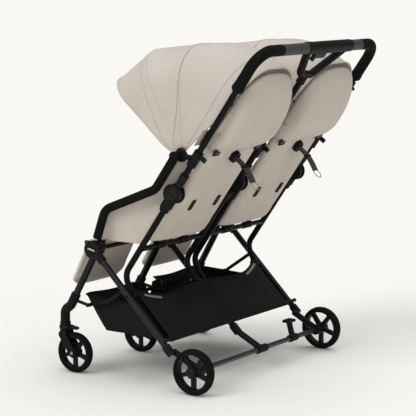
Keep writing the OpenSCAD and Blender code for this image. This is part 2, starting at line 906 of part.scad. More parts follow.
// middle housing, V bracket and socket of the middle tube
v_top_drop = 12;
v_left_drop = 96;
v_right_drop = 104;
v_pts = [
    [70, handle_reach - v_top_drop],
    [34, handle_reach - v_left_drop],
    [-36, handle_reach - v_right_drop],
    [-146, handle_reach - v_top_drop]
];
v_bend_r = 22;
v_socket_d = 27;
v_socket_drop = 132;
v_socket_len = 34;
v_socket_low = handle_reach - v_socket_drop;
v_socket_top = v_socket_low + v_socket_len;
trigger_left = 20;
trigger_right = -44;
trigger_t = 11;
trigger_h = 20;
slot_t = trigger_t + 2 * play;
module on_bar() {
    translate(at(0, bar_p))
        rotate([-tube_lean, 0, 0])
            children();
}
module handle_housing() {
    color("#1b1c1e")
        difference() {
            union() {
                disc(housing_right, housing_left, bar_p, housing_d);
                tube_run([for (q = v_pts) at(q[0], on_tube(q[1]))], v_bend_r, v_bar_d);
                rod(at(0, on_tube(v_socket_low)), at(0, on_tube(v_socket_top)), v_socket_d);
            }
            disc(housing_right - over, housing_left + over, bar_p, bar_d + 2 * fit);
            rod(at(0, on_tube(v_socket_low - over)), at(0, on_tube(mid_tube_top)), tube_d + 2 * fit);
            on_bar()
                translate([trigger_right - play, -slot_t / 2, -housing_d])
                    cube([trigger_left - trigger_right + 2 * play, slot_t, housing_d - bar_d / 2]);
        }
}

// fold trigger under the housing, a plate with a finger hook
trigger_top = over - housing_d / 2;
hook_d = 12;
hook_drop = 12;
hook_low = trigger_top - trigger_h - hook_drop + hook_d / 2;
module fold_trigger() {
    color("#26272a")
        on_bar() {
            translate([trigger_right, -trigger_t / 2, trigger_top - trigger_h])
                cube([trigger_left - trigger_right, trigger_t, trigger_h]);
            translate([trigger_left - hook_d / 2, trigger_t / 2, hook_low])
                rotate([90, 0, 0])
                    cylinder(h = trigger_t, d = hook_d);
            translate([trigger_left - hook_d, -trigger_t / 2, hook_low])
                cube([hook_d, trigger_t, hook_drop]);
        }
}

// sleeves that lock the hinges, sliding on the upper tubes
lock_sleeve_d = 27;
module lock_sleeves() {
    color("#303134")
        for (x = [-tube_x, 0, tube_x])
            difference() {
                rod(at(x, on_tube(hinge_reach + lock_start)),
                    at(x, on_tube(hinge_reach + lock_start + lock_len)), lock_sleeve_d);
                rod(at(x, on_tube(hinge_reach + lock_start - over)),
                    at(x, on_tube(hinge_reach + lock_start + lock_len + over)), tube_d + 2 * fit);
            }
}

// mount blocks with the canopy pivot pins
bow_step = 7;
mid_half_w = bow_half_w - bow_step;
bow_lug_t = 4;
pin_out_x = seat_x + mid_half_w - bow_lug_t - over;
pin_in_x = seat_x - mid_half_w + bow_lug_t + over;
block_arm_d = 18;
block_arm_x = arm_x - (armrest_d + block_arm_d) / 2;
knob_reach = 32;
knob_rise = 16;
knob_d = 15;
mid_cheek_x = mid_armrest_d / 2 + 2 * play;
mid_cheek_t = 5;
module block_core(x) {
    rod(at(x, on_tube(block_reach - block_len / 2)), at(x, on_tube(block_reach + block_len / 2)), block_d);
    knob = on_tube(block_reach + knob_rise);
    rod(at(x, knob), at(x, knob - tube_fwd * knob_reach), knob_d);
}
module block_bore(x) {
    rod(at(x, on_tube(block_reach - block_len)), at(x, on_tube(block_reach + block_len)), tube_d + 2 * fit);
}
module mount_blocks() {
    color("#1d1e20") {
        both_sides()
            difference() {
                union() {
                    block_core(tube_x);
                    rod(at(block_arm_x, on_tube(block_reach)), at(block_arm_x, mount), block_arm_d - over);
                    disc(tube_x - block_arm_d / 2, arm_x - armrest_d / 2 - play, mount, mount_disc_d);
                    disc(pin_out_x, tube_x, mount, mount_pin_d);
                }
                block_bore(tube_x);
            }
        difference() {
            union() {
                block_core(0);
                both_sides() {
                    link(mid_cheek_x, mid_cheek_x + mid_cheek_t,
                        on_tube(block_reach), mount, mid_mount_disc_d);
                    disc(mid_cheek_x, pin_in_x, mount, mount_pin_d);
                }
            }
            block_bore(0);
        }
    }
}

// storage latch on the right tube under its grip
latch_drop = 31;
latch_reach = grip_reach - latch_drop;
latch_len = 22;
latch_d = 27;
latch_hook = 20;
latch_hook_d = 12;
module storage_latch() {
    color("#202123")
        difference() {
            union() {
                rod(at(-tube_x, on_tube(latch_reach)),
                    at(-tube_x, on_tube(latch_reach + latch_len)), latch_d);
                rod(at(-tube_x, on_tube(latch_reach + latch_len / 2)),
                    at(-tube_x, on_tube(latch_reach) - tube_fwd * latch_hook), latch_hook_d);
            }
            rod(at(-tube_x, on_tube(latch_reach - over)),
                at(-tube_x, on_tube(latch_reach + latch_len + over)), tube_d + 2 * fit);
        }
}

// casters

fork_play = 2;
fork_t = 5;
fork_d = 26;
fork_in = front_tyre_w / 2 + fork_play;
fork_out = fork_in + fork_t;
fork_gap = 1;
tyre_room = 3;
crown_d = 34;
crown_h = 24;
fork_top = [swivel_y, housing_low - fork_gap - over - fork_d / 2];
module caster_fork(x) {
    color("#1c1d1f") {
        difference() {
            union() {
                translate([x, swivel_y, housing_low - fork_gap - crown_h])
                    cylinder(h = crown_h, d = crown_d);
                translate([x - fork_out, swivel_y, housing_low - fork_gap - crown_h])
                    cube([2 * fork_out, crown_d * half_share, crown_h]);
                for (e = [-fork_out, fork_in])
                    link(x + e, x + e + fork_t, fork_top, front_axle, fork_d);
            }
            disc(x - fork_in, x + fork_in, front_axle, front_wheel_d + 2 * tyre_room);
        }
        translate([x, swivel_y, housing_low - fork_gap - over])
            cylinder(h = stem_len + fork_gap + over, d = stem_d);
        disc(x - fork_out, x + fork_out, front_axle, axle_d);
    }
}
module caster_fork_left() { caster_fork(front_x); }
module caster_fork_centre() { caster_fork(0); }
module caster_fork_right() { caster_fork(-front_x); }

// tyre with a crowned tread
tread_share = 0.8;
module tyre(x, p, d, w) {
    color("#17181a")
        translate(at(x, p))
            rotate([0, 90, 0])
                rotate_extrude()
                    intersection() {
                        translate([d / 2 - w * tread_share, 0])
                            circle(r = w * tread_share);
                        translate([d / 2 - tyre_t, -w / 2])
                            square([tyre_t, w]);
                    }
}
rim_t = 5;
rim_inset = 3;
spoke_w = 13;
wheel_hub_d = 36;
module rim(x, p, d, w, bore) {
    r = d / 2 - tyre_t - fit;
    color("#222325")
        translate(at(x, p))
            rotate([0, 90, 0])
                difference() {
                    union() {
                        linear_extrude(height = w - 2 * rim_inset, center = true)
                            difference() {
                                circle(r = r);
                                circle(r = r - rim_t);
                            }
                        linear_extrude(height = (w - 2 * rim_inset) * half_share, center = true)
                            for (a = [0 : spokes - 1])
                                rotate(360 * a / spokes)
                                    translate([0, -spoke_w / 2])
                                        square([r - rim_t * half_share, spoke_w]);
                        cylinder(h = w, d = wheel_hub_d, center = true);
                    }
                    cylinder(h = w + 2 * over, d = bore, center = true);
                }
}
module front_tyre_left() { tyre(front_x, front_axle, front_wheel_d, front_tyre_w); }
module front_tyre_centre() { tyre(0, front_axle, front_wheel_d, front_tyre_w); }
module front_tyre_right() { tyre(-front_x, front_axle, front_wheel_d, front_tyre_w); }
module front_rim_left() { rim(front_x, front_axle, front_wheel_d, front_tyre_w, axle_d + 2 * fit); }
module front_rim_centre() { rim(0, front_axle, front_wheel_d, front_tyre_w, axle_d + 2 * fit); }
module front_rim_right() { rim(-front_x, front_axle, front_wheel_d, front_tyre_w, axle_d + 2 * fit); }
module rear_tyre_left() { tyre(wheel_x, rear_axle, rear_wheel_d, rear_tyre_w); }
module rear_tyre_right() { tyre(-wheel_x, rear_axle, rear_wheel_d, rear_tyre_w); }
module rear_rim_left() { rim(wheel_x, rear_axle, rear_wheel_d, rear_tyre_w, axle_d + 2 * fit); }
module rear_rim_right() { rim(-wheel_x, rear_axle, rear_wheel_d, rear_tyre_w, axle_d + 2 * fit); }

// swivel lock levers behind the caster housings
lever_l = 24;
lever_drop = 3;
module swivel_lock(x) {
    color("#333437")
        difference() {
            link(x - lock_half, x + lock_half, lock_p, lock_p + [lever_l, -lever_drop], lock_d);
            disc(x - lock_half - over, x + lock_half + over, lock_p, lock_pin_d + 2 * fit);
        }
}
module swivel_lock_left() { swivel_lock(front_x); }
module swivel_lock_centre() { swivel_lock(0); }
module swivel_lock_right() { swivel_lock(-front_x); }

// brake pedal on the axle tube
pedal_x = -190;
pedal_w = 40;
pedal_d = 24;
pedal_rise = 50;
pedal_fwd = 14;
pedal_pad_l = 26;
pedal_pad_t = 8;
pedal_t = 9;
pedal_p = rear_axle + [-pedal_fwd, pedal_rise];
module brake_pedal() {
    color("#1d1e20")
        difference() {
            union() {
                disc(pedal_x - pedal_w / 2, pedal_x + pedal_w / 2, rear_axle, pedal_d);
                link(pedal_x - pedal_t, pedal_x + pedal_t, rear_axle, pedal_p, pedal_t + over);
                translate(at(pedal_x - pedal_w / 2, pedal_p - [pedal_pad_l / 2, 0]))
                    cube([pedal_w, pedal_pad_l, pedal_pad_t]);
            }
            disc(pedal_x - pedal_w, pedal_x + pedal_w, rear_axle, axle_tube_d + 2 * fit);
        }
}

// seat backs: padded, thick at the head end, with two loops on the crossbar
back_n = 14;
back_m = 24;
loop_w = 46;
loop_wall = 3;
loop_d = seat_bar_d + 2 * loop_wall;
loop_x = 62;
loop_lap = 4;
function back_half(v) = back_w / 2 * (1 - waist_share * sin(180 * v))
    * (1 - (1 - head_share) * pow(clamp((v - head_start_share) / (1 - head_start_share)), 2));
function back_round(v) = v < round_start_share ? 1
    : max(round_end_share, sqrt(1 - pow((v - round_start_share) / (1 - round_start_share), 2)));
function head_swell(v) = max(0, 1 - pow((v - head_mid_share) / head_span_share, 2));
function back_rear(v) = (back_thick + (back_bulge - back_thick) * head_swell(v)) * back_round(v);
function back_front(v) = back_bulge * front_share * back_round(v);
function back_pt(u, v, side) =
    let (c = edge_share + (1 - edge_share) * puff(u, min(0, 2 * v - 1)),
         off = side > 0 ? back_front(v) * c : -back_rear(v) * c)
    at(u * back_half(v), on_tube(back_start + back_h * v) + tube_fwd * off);
module back_pad(x) {
    grids = [for (side = [-1, 1]) [for (i = [0 : back_m]) [for (j = [0 : back_n])
        back_pt(2 * j / back_n - 1, i / back_m, side)]]];
    translate([x, 0, 0])
        shell(grids[0], grids[1]);
    for (e = [-loop_x, loop_x])
        difference() {
            union() {
                disc(x + e - loop_w / 2, x + e + loop_w / 2, seat_bar, loop_d);
                translate(at(x + e - loop_w / 2, seat_bar))
                    rotate([-tube_lean, 0, 0])
                        translate([0, -side_t, 0])
                            cube([loop_w, 2 * side_t, back_start + loop_lap]);
            }
            disc(x + e - loop_w, x + e + loop_w, seat_bar, seat_bar_d + 2 * fit);
        }
}
module seat_back_left() {
    color("#aaa093")
        back_pad(seat_x);
}
module seat_back_right() {
    color("#aaa093")
        back_pad(-seat_x);
}

// recline slider, strap tail and wire ring behind each seat back
slider_d = 30;
slider_t = 14;
slider_reach = back_start + back_h * slider_share;
slider_off = back_rear(slider_share) + slider_t / 2;
strap_w = 24;
strap_t = 2;
strap_fall = [62, -72];
ring_d = 30;
ring_wire = 3;
module recline_strap(x) {
    p = on_tube(slider_reach) - tube_fwd * slider_off;
    color("#1b1c1e") {
        translate(at(x, p))
            rotate([90 - tube_lean, 0, 0])
                cylinder(h = slider_t, d = slider_d, center = true, $fn = 6);
        translate(at(x, p))
            rotate([atan2(strap_fall[1], strap_fall[0]), 0, 0])
                translate([-strap_w / 2, 0, -strap_t / 2])
                    cube([strap_w, norm(strap_fall), strap_t]);
        translate(at(x, p + strap_fall + unit(strap_fall) * (ring_d - ring_wire) * half_share))
            rotate([atan2(strap_fall[1], strap_fall[0]), 0, 0])
                rotate_extrude()
                    translate([ring_d / 2, 0])
                        circle(d = ring_wire);
    }
}
module recline_strap_left() { recline_strap(seat_x); }
module recline_strap_right() { recline_strap(-seat_x); }

// leg rests: padded flaps on hinge pins at the front of the seat
function leg_pt(u, v, side) =
    let (t = leg_rest_t * (edge_share + (1 - edge_share) * puff(u, 2 * v - 1)))
    at(u * leg_rest_w / 2 * (1 - waist_share * sin(180 * v)),
       leg_p + leg_dir_down * (leg_rest_h * v - leg_top) + leg_face * side * t / 2);
module leg_pad(x) {
    grids = [for (side = [1, -1]) [for (i = [0 : leg_rest_n]) [for (j = [0 : leg_rest_n])
        leg_pt(2 * j / leg_rest_n - 1, i / leg_rest_n, side)]]];
    translate([x, 0, 0]) {
        shell(grids[0], grids[1]);
        for (e = [-leg_rest_w / 2 - leg_pin_len, leg_rest_w / 2 - leg_pin_len])
            disc(e, e + 2 * leg_pin_len, leg_p, leg_pin_d);
    }
}
module leg_rest_left() {
    color("#8c8276")
        leg_pad(seat_x);
}
module leg_rest_right() {
    color("#8c8276")
        leg_pad(-seat_x);
}

// canopy bows and covers

bow_lug_d = 18;
module bow(x, w, r, deg) {
    difference() {
        union() {
            tube_run([
                at(x + w, mount),
                at(x + w, polar(r, deg)),
                at(x - w, polar(r, deg)),
                at(x - w, mount)
            ], bow_corner_r, bow_d);
            for (e = [-w, w])
                disc(x + e - bow_lug_t / 2, x + e + bow_lug_t / 2, mount, bow_lug_d);
        }
        disc(x - w - bow_d, x + w + bow_d, mount, mount_pin_d + 2 * fit);
    }
}
module canopy_mid_bows() {
    color("#2a2b2d")
        both_sides()
            bow(seat_x, mid_half_w, mid_bow_r, mid_bow_deg);
}
module canopy_front_bow_left() {
    color("#2a2b2d")
        bow(seat_x, bow_half_w, front_bow_r, front_bow_deg);
}
module canopy_front_bow_right() {
    color("#2a2b2d")
        bow(-seat_x, bow_half_w, front_bow_r, front_bow_deg);
}

// one continuous cover from the rear edge over both bows to the visor edge
cover_n = 16;
cover_m = 26;
cover_foot = 34;
cover_room = 3;
cover_off = bow_d / 2 + cover_room;
visor_droop = 9;
cover_puff = 28;
// straight line between two rib ends, as a distance from the mount
function chord_r(deg, a, ra, b, rb) =
    ra * rb * sin(b - a) / (ra * sin(deg - a) + rb * sin(b - deg));
function cover_r(deg) =
    deg < mid_bow_deg
    ? chord_r(deg, rear_edge_deg, rear_edge_r, mid_bow_deg, mid_bow_r)
        + cover_puff * sin(180 * (deg - rear_edge_deg) / (mid_bow_deg - rear_edge_deg))
    : deg < front_bow_deg
    ? chord_r(deg, mid_bow_deg, mid_bow_r, front_bow_deg, front_bow_r)
    : chord_r(deg, front_bow_deg, front_bow_r, visor_deg, visor_r);
// runs up one side, round the corners and down the other side, s from 0 to 1
function u_path(w, r, c, s) =
    let (side = r - c - cover_foot, arc = c * PI / 2, top = 2 * (w - c), all = 2 * side + 2 * arc + top,
         l = s <= half_share ? s * all : (1 - s) * all, way = s <= half_share ? 1 : -1,
         a = (l - side) / c * 180 / PI)
    l < side ? [way * w, cover_foot + l]
    : l < side + arc ? [way * (w - c + c * cos(a)), r - c + c * sin(a)]
    : [way * (w - c - (l - side - arc)), r];
function cover_pt(s, t, off) =
    let (deg = rear_edge_deg + (visor_deg - rear_edge_deg) * t,
         q = u_path(bow_half_w + cover_off + off, cover_r(deg) + cover_off + off, bow_corner_r, s))
    at(q[0], polar(q[1], deg + visor_droop * t * t * (1 - q[1] / visor_r)));
module cover(x) {
    grids = [for (off = [cover_t, 0]) [for (i = [0 : cover_n]) [for (j = [0 : cover_m])
        cover_pt(j / cover_m, i / cover_n, off)]]];
    translate([x, 0, 0])
        shell(grids[0], grids[1]);
}
module canopy_cover_left() {
    color("#c9c0b5")
        cover(seat_x);
}
module canopy_cover_right() {
    color("#c9c0b5")
        cover(-seat_x);
}

rear_legs();
rear_axle_tube();
basket_bar();
hub_housings();
pivot_pins();
rear_wheel_brackets();
axle_tee();
basket();
seat_base_left();
seat_base_right();
side_panels();
seat_rails();
front_legs();
caster_housings();
brace_bars();
brace_rods();
armrests();
back_tubes();
seat_crossbars();
hinge_knuckles();
hinge_tongues();
handle_tubes();
handlebar();
grips();
handle_housing();
fold_trigger();
lock_sleeves();
mount_blocks();
storage_latch();
caster_fork_left();
caster_fork_centre();
caster_fork_right();
front_tyre_left();
front_tyre_centre();
front_tyre_right();
front_rim_left();
front_rim_centre();
front_rim_right();
rear_tyre_left();
rear_tyre_right();
rear_rim_left();
rear_rim_right();
swivel_lock_left();
swivel_lock_centre();
swivel_lock_right();
brake_pedal();
seat_back_left();
seat_back_right();
recline_strap_left();
recline_strap_right();
leg_rest_left();
leg_rest_right();
canopy_mid_bows();
canopy_front_bow_left();
canopy_front_bow_right();
canopy_cover_left();
canopy_cover_right();
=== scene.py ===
import math
import bpy
import numpy as np
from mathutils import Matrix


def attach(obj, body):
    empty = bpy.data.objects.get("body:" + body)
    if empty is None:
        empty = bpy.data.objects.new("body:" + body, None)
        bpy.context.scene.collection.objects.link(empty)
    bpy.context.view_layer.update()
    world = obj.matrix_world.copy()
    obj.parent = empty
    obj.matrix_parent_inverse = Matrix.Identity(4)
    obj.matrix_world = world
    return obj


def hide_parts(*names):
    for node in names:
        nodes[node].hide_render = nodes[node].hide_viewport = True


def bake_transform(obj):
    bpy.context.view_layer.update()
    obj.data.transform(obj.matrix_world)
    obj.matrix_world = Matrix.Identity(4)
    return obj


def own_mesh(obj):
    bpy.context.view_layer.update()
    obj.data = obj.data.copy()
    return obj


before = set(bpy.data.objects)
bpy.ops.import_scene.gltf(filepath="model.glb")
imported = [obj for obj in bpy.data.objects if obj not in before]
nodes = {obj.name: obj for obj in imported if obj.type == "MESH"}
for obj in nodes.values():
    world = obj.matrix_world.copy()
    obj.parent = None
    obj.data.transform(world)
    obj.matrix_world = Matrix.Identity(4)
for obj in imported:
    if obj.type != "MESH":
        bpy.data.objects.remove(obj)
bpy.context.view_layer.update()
print("stroller frame loaded with", len(nodes), "nodes")

# side plane points of the part, as (y, z) in metres
tubeLean = math.radians(35.0)
tubeUp = np.array([math.sin(tubeLean), math.cos(tubeLean)])
tubeFwd = np.array([-math.cos(tubeLean), math.sin(tubeLean)])
seatBar = np.array([-0.062, 0.414])
hubAt = np.array([-0.224, 0.402])
mountAt = seatBar + tubeUp * 0.323 + tubeFwd * 0.051
hingeAt = seatBar + tubeUp * 0.218
legRun = np.array([math.sqrt(0.5), -math.sqrt(0.5)])  # down the rear leg
legUp = np.array([math.sqrt(0.5), math.sqrt(0.5)])  # out of the rear leg plane
rearAxle = np.array([0.153, 0.070])
frontAxle = np.array([-0.316, 0.064])
seatX = 0.183  # middle of each seat
frameX = 0.345  # outer tubes, legs and casters
sides = {"left": 1.0, "right": -1.0}
tubeUpWay, tubeFwdWay = np.array([0.0, *tubeUp]), np.array([0.0, *tubeFwd])
legUpWay, legRunWay = np.array([0.0, *legUp]), np.array([0.0, *legRun])
waveRun = 0.31416  # a wave texture of scale 1 repeats over this length


def lin(code):  # sRGB hex to linear colour
    c = np.array([int(code[i:i + 2], 16) for i in (1, 3, 5)]) / 255.0
    c = np.where(c <= 0.04045, c / 12.92, ((c + 0.055) / 1.055) ** 2.4)
    return (float(c[0]), float(c[1]), float(c[2]), 1.0)


def addNode(tree, kind, links=None, values=None, **settings):  # one node with its settings and links
    made = tree.nodes.new(kind)
    for key, value in settings.items():
        setattr(made, key, value)
    for key, value in (values or {}).items():
        made.inputs[key].default_value = value
    for key, source in (links or {}).items():
        tree.links.new(source, made.inputs[key])
    return made


def startFinish(name):  # an empty finish, its tree and the object coordinates
    finish = bpy.data.materials.new(name)
    finish.use_nodes = True
    finish.node_tree.nodes.clear()
    tree = finish.node_tree
    where = addNode(tree, "ShaderNodeTexCoord").outputs["Object"]
    return finish, tree, where


def closeFinish(tree, colour, rough, bump, values):  # shader with the three maps linked and the rest constant
    links = {"Base Color": colour, "Roughness": rough, "Normal": bump}
    shader = addNode(tree, "ShaderNodeBsdfPrincipled", links, values)
    addNode(tree, "ShaderNodeOutputMaterial", {"Surface": shader.outputs["BSDF"]})


# woven cloth: two crossed bands from a flat sheet's own map, or small cells on padded forms; a slow noise for dye
# threads are drawn near 2.4 mm apart, coarser than the real 0.5 mm, so that they show
def clothFinish(name, light, dark, threadMm, depthMm, rough, sheen, mapped=False, shine=0.2):
    finish, tree, where = startFinish(name)
    if mapped:
        flat = addNode(tree, "ShaderNodeUVMap", uv_map="length").outputs["UV"]
        wave = {"Scale": waveRun / (threadMm / 1000), "Distortion": 0.4, "Detail": 1.0}
        bands = [addNode(tree, "ShaderNodeTexWave", {"Vector": flat}, wave, bands_direction=way) for way in "XY"]
        threads = {0: bands[0].outputs["Fac"], 1: bands[1].outputs["Fac"]}
        weave = addNode(tree, "ShaderNodeMath", threads, operation="MULTIPLY").outputs[0]
    else:
        weave = addNode(tree, "ShaderNodeTexVoronoi", {"Vector": where}, {"Scale": 1000 / threadMm}).outputs["Distance"]
    slub = addNode(tree, "ShaderNodeTexNoise", {"Vector": where}, {"Scale": 210.0, "Detail": 3.0}).outputs["Fac"]
    cloud = addNode(tree, "ShaderNodeTexNoise", {"Vector": where}, {"Scale": 7.0, "Detail": 2.0}).outputs["Fac"]
    fine = addNode(tree, "ShaderNodeMath", {0: weave, 1: slub, 2: cloud}, operation="MULTIPLY_ADD").outputs[0]
    tone = addNode(tree, "ShaderNodeMapRange", {"Value": fine}, {"From Min": 0.35, "From Max": 1.0}).outputs[0]
    colour = addNode(tree, "ShaderNodeMix", {0: tone}, {6: lin(dark), 7: lin(light)}, data_type="RGBA").outputs[2]
    spread = {"To Min": rough - 0.07, "To Max": rough + 0.07}
    roughness = addNode(tree, "ShaderNodeMapRange", {"Value": slub}, spread).outputs[0]
    height = addNode(tree, "ShaderNodeMath", {0: weave, 1: slub}, operation="ADD").outputs[0]
    bump = addNode(tree, "ShaderNodeBump", {"Height": height}, {"Strength": 0.3, "Distance": depthMm / 1000}).outputs[0]
    soft = {"Sheen Weight": sheen, "Sheen Roughness": 0.5, "Specular IOR Level": shine}
    closeFinish(tree, colour, roughness, bump, soft)
    return finish


# moulded, coated or drawn surfaces: a mottle of two tones, a fine grain in the bump and in the gloss
def solidFinish(name, light, dark, mottleMm, grainMm, depthMm, rough, spread, **values):
    finish, tree, where = startFinish(name)
    coarse, tight = {"Scale": 1000 / mottleMm, "Detail": 3.0}, {"Scale": 1000 / grainMm, "Detail": 2.0}
    mottle = addNode(tree, "ShaderNodeTexNoise", {"Vector": where}, coarse).outputs["Fac"]
    grain = addNode(tree, "ShaderNodeTexNoise", {"Vector": where}, tight).outputs["Fac"]
    colour = addNode(tree, "ShaderNodeMix", {0: mottle}, {6: lin(dark), 7: lin(light)}, data_type="RGBA").outputs[2]
    gloss = addNode(tree, "ShaderNodeMath", {0: mottle, 1: grain}, operation="MULTIPLY").outputs[0]
    limits = {"From Max": 0.5, "To Min": rough - spread, "To Max": rough + spread}
    roughness = addNode(tree, "ShaderNodeMapRange", {"Value": gloss}, limits).outputs[0]
    bump = addNode(tree, "ShaderNodeBump", {"Height": grain}, {"Strength": 0.3, "Distance": depthMm / 1000}).outputs[0]
    closeFinish(tree, colour, roughness, bump, {k.replace("_", " "): v for k, v in values.items()})
    return finish


# pebbled skin of leatherette: voronoi cells near 2 mm, with painted shade darkening the creases between them
def leatherFinish(name, light, dark, cellMm, depthMm, rough):
    finish, tree, where = startFinish(name)
    size = {"Scale": 1000 / cellMm}
    cells = addNode(tree, "ShaderNodeTexVoronoi", {"Vector": where}, size, feature="DISTANCE_TO_EDGE")
    crease = addNode(tree, "ShaderNodeMapRange", {"Value": cells.outputs["Distance"]}, {"From Max": 0.25}).outputs[0]
    cloud = addNode(tree, "ShaderNodeTexNoise", {"Vector": where}, {"Scale": 25.0}).outputs["Fac"]
    tone = addNode(tree, "ShaderNodeMath", {0: crease, 1: cloud}, operation="MULTIPLY").outputs[0]
    # painted shade: the colour goes dark in the creases between cells
    colour = addNode(tree, "ShaderNodeMix", {0: tone}, {6: lin(dark), 7: lin(light)}, data_type="RGBA").outputs[2]
    duller = {"To Min": rough + 0.12, "To Max": rough}
    roughness = addNode(tree, "ShaderNodeMapRange", {"Value": crease}, duller).outputs[0]
    bump = addNode(tree, "ShaderNodeBump", {"Height": crease}, {"Strength": 0.5, "Distance": depthMm / 1000}).outputs[0]
    closeFinish(tree, colour, roughness, bump, {})
    return finish


# webbing: ribs across the strap, read from the strap's own map so that they follow it
def webbingFinish(name, light, dark, ribMm):
    finish, tree, where = startFinish(name)
    along = addNode(tree, "ShaderNodeUVMap", uv_map="length").outputs["UV"]
    wave = {"Scale": waveRun / (ribMm / 1000)}
    ribs = addNode(tree, "ShaderNodeTexWave", {"Vector": along}, wave, bands_direction="Y").outputs["Fac"]
    fuzz = addNode(tree, "ShaderNodeTexNoise", {"Vector": where}, {"Scale": 600.0}).outputs["Fac"]
    tone = addNode(tree, "ShaderNodeMath", {0: ribs, 1: fuzz}, operation="MULTIPLY").outputs[0]
    colour = addNode(tree, "ShaderNodeMix", {0: tone}, {6: lin(dark), 7: lin(light)}, data_type="RGBA").outputs[2]
    roughness = addNode(tree, "ShaderNodeMapRange", {"Value": fuzz}, {"To Min": 0.6, "To Max": 0.8}).outputs[0]
    bump = addNode(tree, "ShaderNodeBump", {"Height": ribs}, {"Strength": 0.4, "Distance": 0.0006}).outputs[0]
    closeFinish(tree, colour, roughness, bump, {"Sheen Weight": 0.2})
    return finish


# dyed polyester, matt with a soft sheen
canopyCloth = clothFinish("polyester_canopy", "#CAC2BA", "#BEB5AC", 2.4, 0.2, 0.82, 0.1, True)
seatCloth = clothFinish("polyester_seat", "#CCC2B8", "#BEB4A9", 2.4, 0.3, 0.85, 0.1)
# the same polyester drawn darker: painted shade for the tube tabs, and used on the shoulder pads too
shadeToneCloth = clothFinish("polyester_shade_tone", "#B4AA9F", "#A2988E", 3.0, 0.3, 0.88, 0.1)
trimCloth = clothFinish("polyester_binding", "#B9AFA5", "#A79D93", 1.8, 0.3, 0.8, 0.1)
# coated oxford nylon, near black with a faint gloss
basketCloth = clothFinish("nylon_basket", "#151517", "#0E0E10", 2.2, 0.25, 0.66, 0.02, True, 0.12)
bindingBlack = clothFinish("nylon_binding", "#111113", "#0B0B0D", 1.6, 0.3, 0.7, 0.02, False, 0.12)
webbingBlack = webbingFinish("nylon_webbing", "#1A1A1C", "#0B0B0C", 2.4)
# painted highlight: light grey strips that stand in for the light caught along the basket's top hem
hemHighlightPaint = solidFinish("painted_hem_highlight", "#8F9092", "#737476", 6, 1.2, 0.1, 0.35, 0.08)
# anodised aluminium tube, dark, with soft long highlights
legAlloy = solidFinish("anodised_gunmetal", "#2A2B2E", "#232427", 30, 0.9, 0.02, 0.36, 0.06, Metallic=0.9)
tubeAlloy = solidFinish("anodised_black", "#17181A", "#121315", 30, 0.9, 0.02, 0.40, 0.06,
                        Metallic=0.6, Specular_IOR_Level=0.15)
axleAlloy = solidFinish("anodised_grey", "#55575A", "#494B4E", 24, 0.9, 0.02, 0.34, 0.06, Metallic=0.95)
# powder coat on the flat steel braces
braceCoat = solidFinish("powder_coat_black", "#19191B", "#121214", 12, 0.8, 0.05, 0.50, 0.06, Specular_IOR_Level=0.12)
# moulded ABS with a spark-eroded texture, and a finer glossier nylon
absBlack = solidFinish("moulded_abs", "#131315", "#0D0D0F", 18, 0.9, 0.08, 0.54, 0.08, Specular_IOR_Level=0.12)
nylonBlack = solidFinish("moulded_nylon", "#19191B", "#111113", 14, 0.8, 0.05, 0.45, 0.07, Specular_IOR_Level=0.15)
rimPlastic = solidFinish("moulded_rim", "#141416", "#0E0E10", 14, 0.8, 0.05, 0.44, 0.06, Specular_IOR_Level=0.12)
tyreRubber = solidFinish("tyre_rubber", "#111112", "#0B0B0C", 9, 1.1, 0.15, 0.80, 0.08, Specular_IOR_Level=0.1)
foamBlack = solidFinish("eva_foam", "#121214", "#0C0C0D", 10, 1.4, 0.25, 0.85, 0.06, Specular_IOR_Level=0.1)
leatherette = leatherFinish("leatherette_charcoal", "#474749", "#28282A", 2.2, 0.25, 0.55)
pinSteel = solidFinish("brushed_steel", "#A3A5A8", "#8E9094", 8, 0.6, 0.02, 0.32, 0.06, Metallic=1.0)
inlaySatin = solidFinish("satin_inlay", "#C3C4C6", "#B2B3B6", 8, 0.6, 0.02, 0.35, 0.05, Metallic=0.8)
print("finishes ready:", len(bpy.data.materials))


def gridFaces(rows, cols, closeRows=False, closeCols=False):  # quads of a grid of points, row by row
    i = np.arange(rows if closeRows else rows - 1)[:, None]
    j = np.arange(cols if closeCols else cols - 1)[None, :]
    a = i * cols + j
    b = i * cols + (j + 1) % cols
    c = ((i + 1) % rows) * cols + (j + 1) % cols
    d = ((i + 1) % rows) * cols + j
    return np.stack([a + 0 * b, b, c, d + 0 * c], -1).reshape(-1, 4)


def makePiece(name, points, faces, finish, mapping=None):  # smooth mesh, with its length map when one is given
    mesh = bpy.data.meshes.new(name)
    mesh.from_pydata(np.asarray(points, float).reshape(-1, 3).tolist(), [], [list(map(int, f)) for f in faces])
    mesh.polygons.foreach_set("use_smooth", np.ones(len(mesh.polygons), bool))
    mesh.materials.append(finish)
    if mapping is not None:
        layer = mesh.uv_layers.new(name="length")
        corner = np.zeros(len(mesh.loops), np.int32)
        mesh.loops.foreach_get("vertex_index", corner)
        layer.data.foreach_set("uv", np.asarray(mapping, float).reshape(-1, 2)[corner].ravel())
    mesh.update()
    piece = bpy.data.objects.new(name, mesh)
    bpy.context.scene.collection.objects.link(piece)
    return piece


def meshArea(points, faces):  # half the cross product of the diagonals, summed
    p = np.asarray(points, float).reshape(-1, 3)[np.asarray(faces)]
    return float(np.linalg.norm(np.cross(p[:, 2] - p[:, 0], p[:, 3] - p[:, 1]), axis=1).sum() / 2)


def flipFor(points, faces, inside):  # turn the quads so that they face away from a point or points
    p = np.asarray(points, float).reshape(-1, 3)[faces]
    normal = np.cross(p[:, 2] - p[:, 0], p[:, 3] - p[:, 1])
    away = ((p.mean(1) - inside) * normal).sum()
    return faces if away > 0 else faces[:, ::-1]


def sheetMap(grid):  # length run along the rows and along the columns, in metres
    across = np.cumsum(np.linalg.norm(np.diff(grid, axis=1, prepend=grid[:, :1]), axis=2), axis=1)
    along = np.cumsum(np.linalg.norm(np.diff(grid, axis=0, prepend=grid[:1]), axis=2), axis=0)
    return np.stack([across - across[:, -1:] / 2, along], -1)


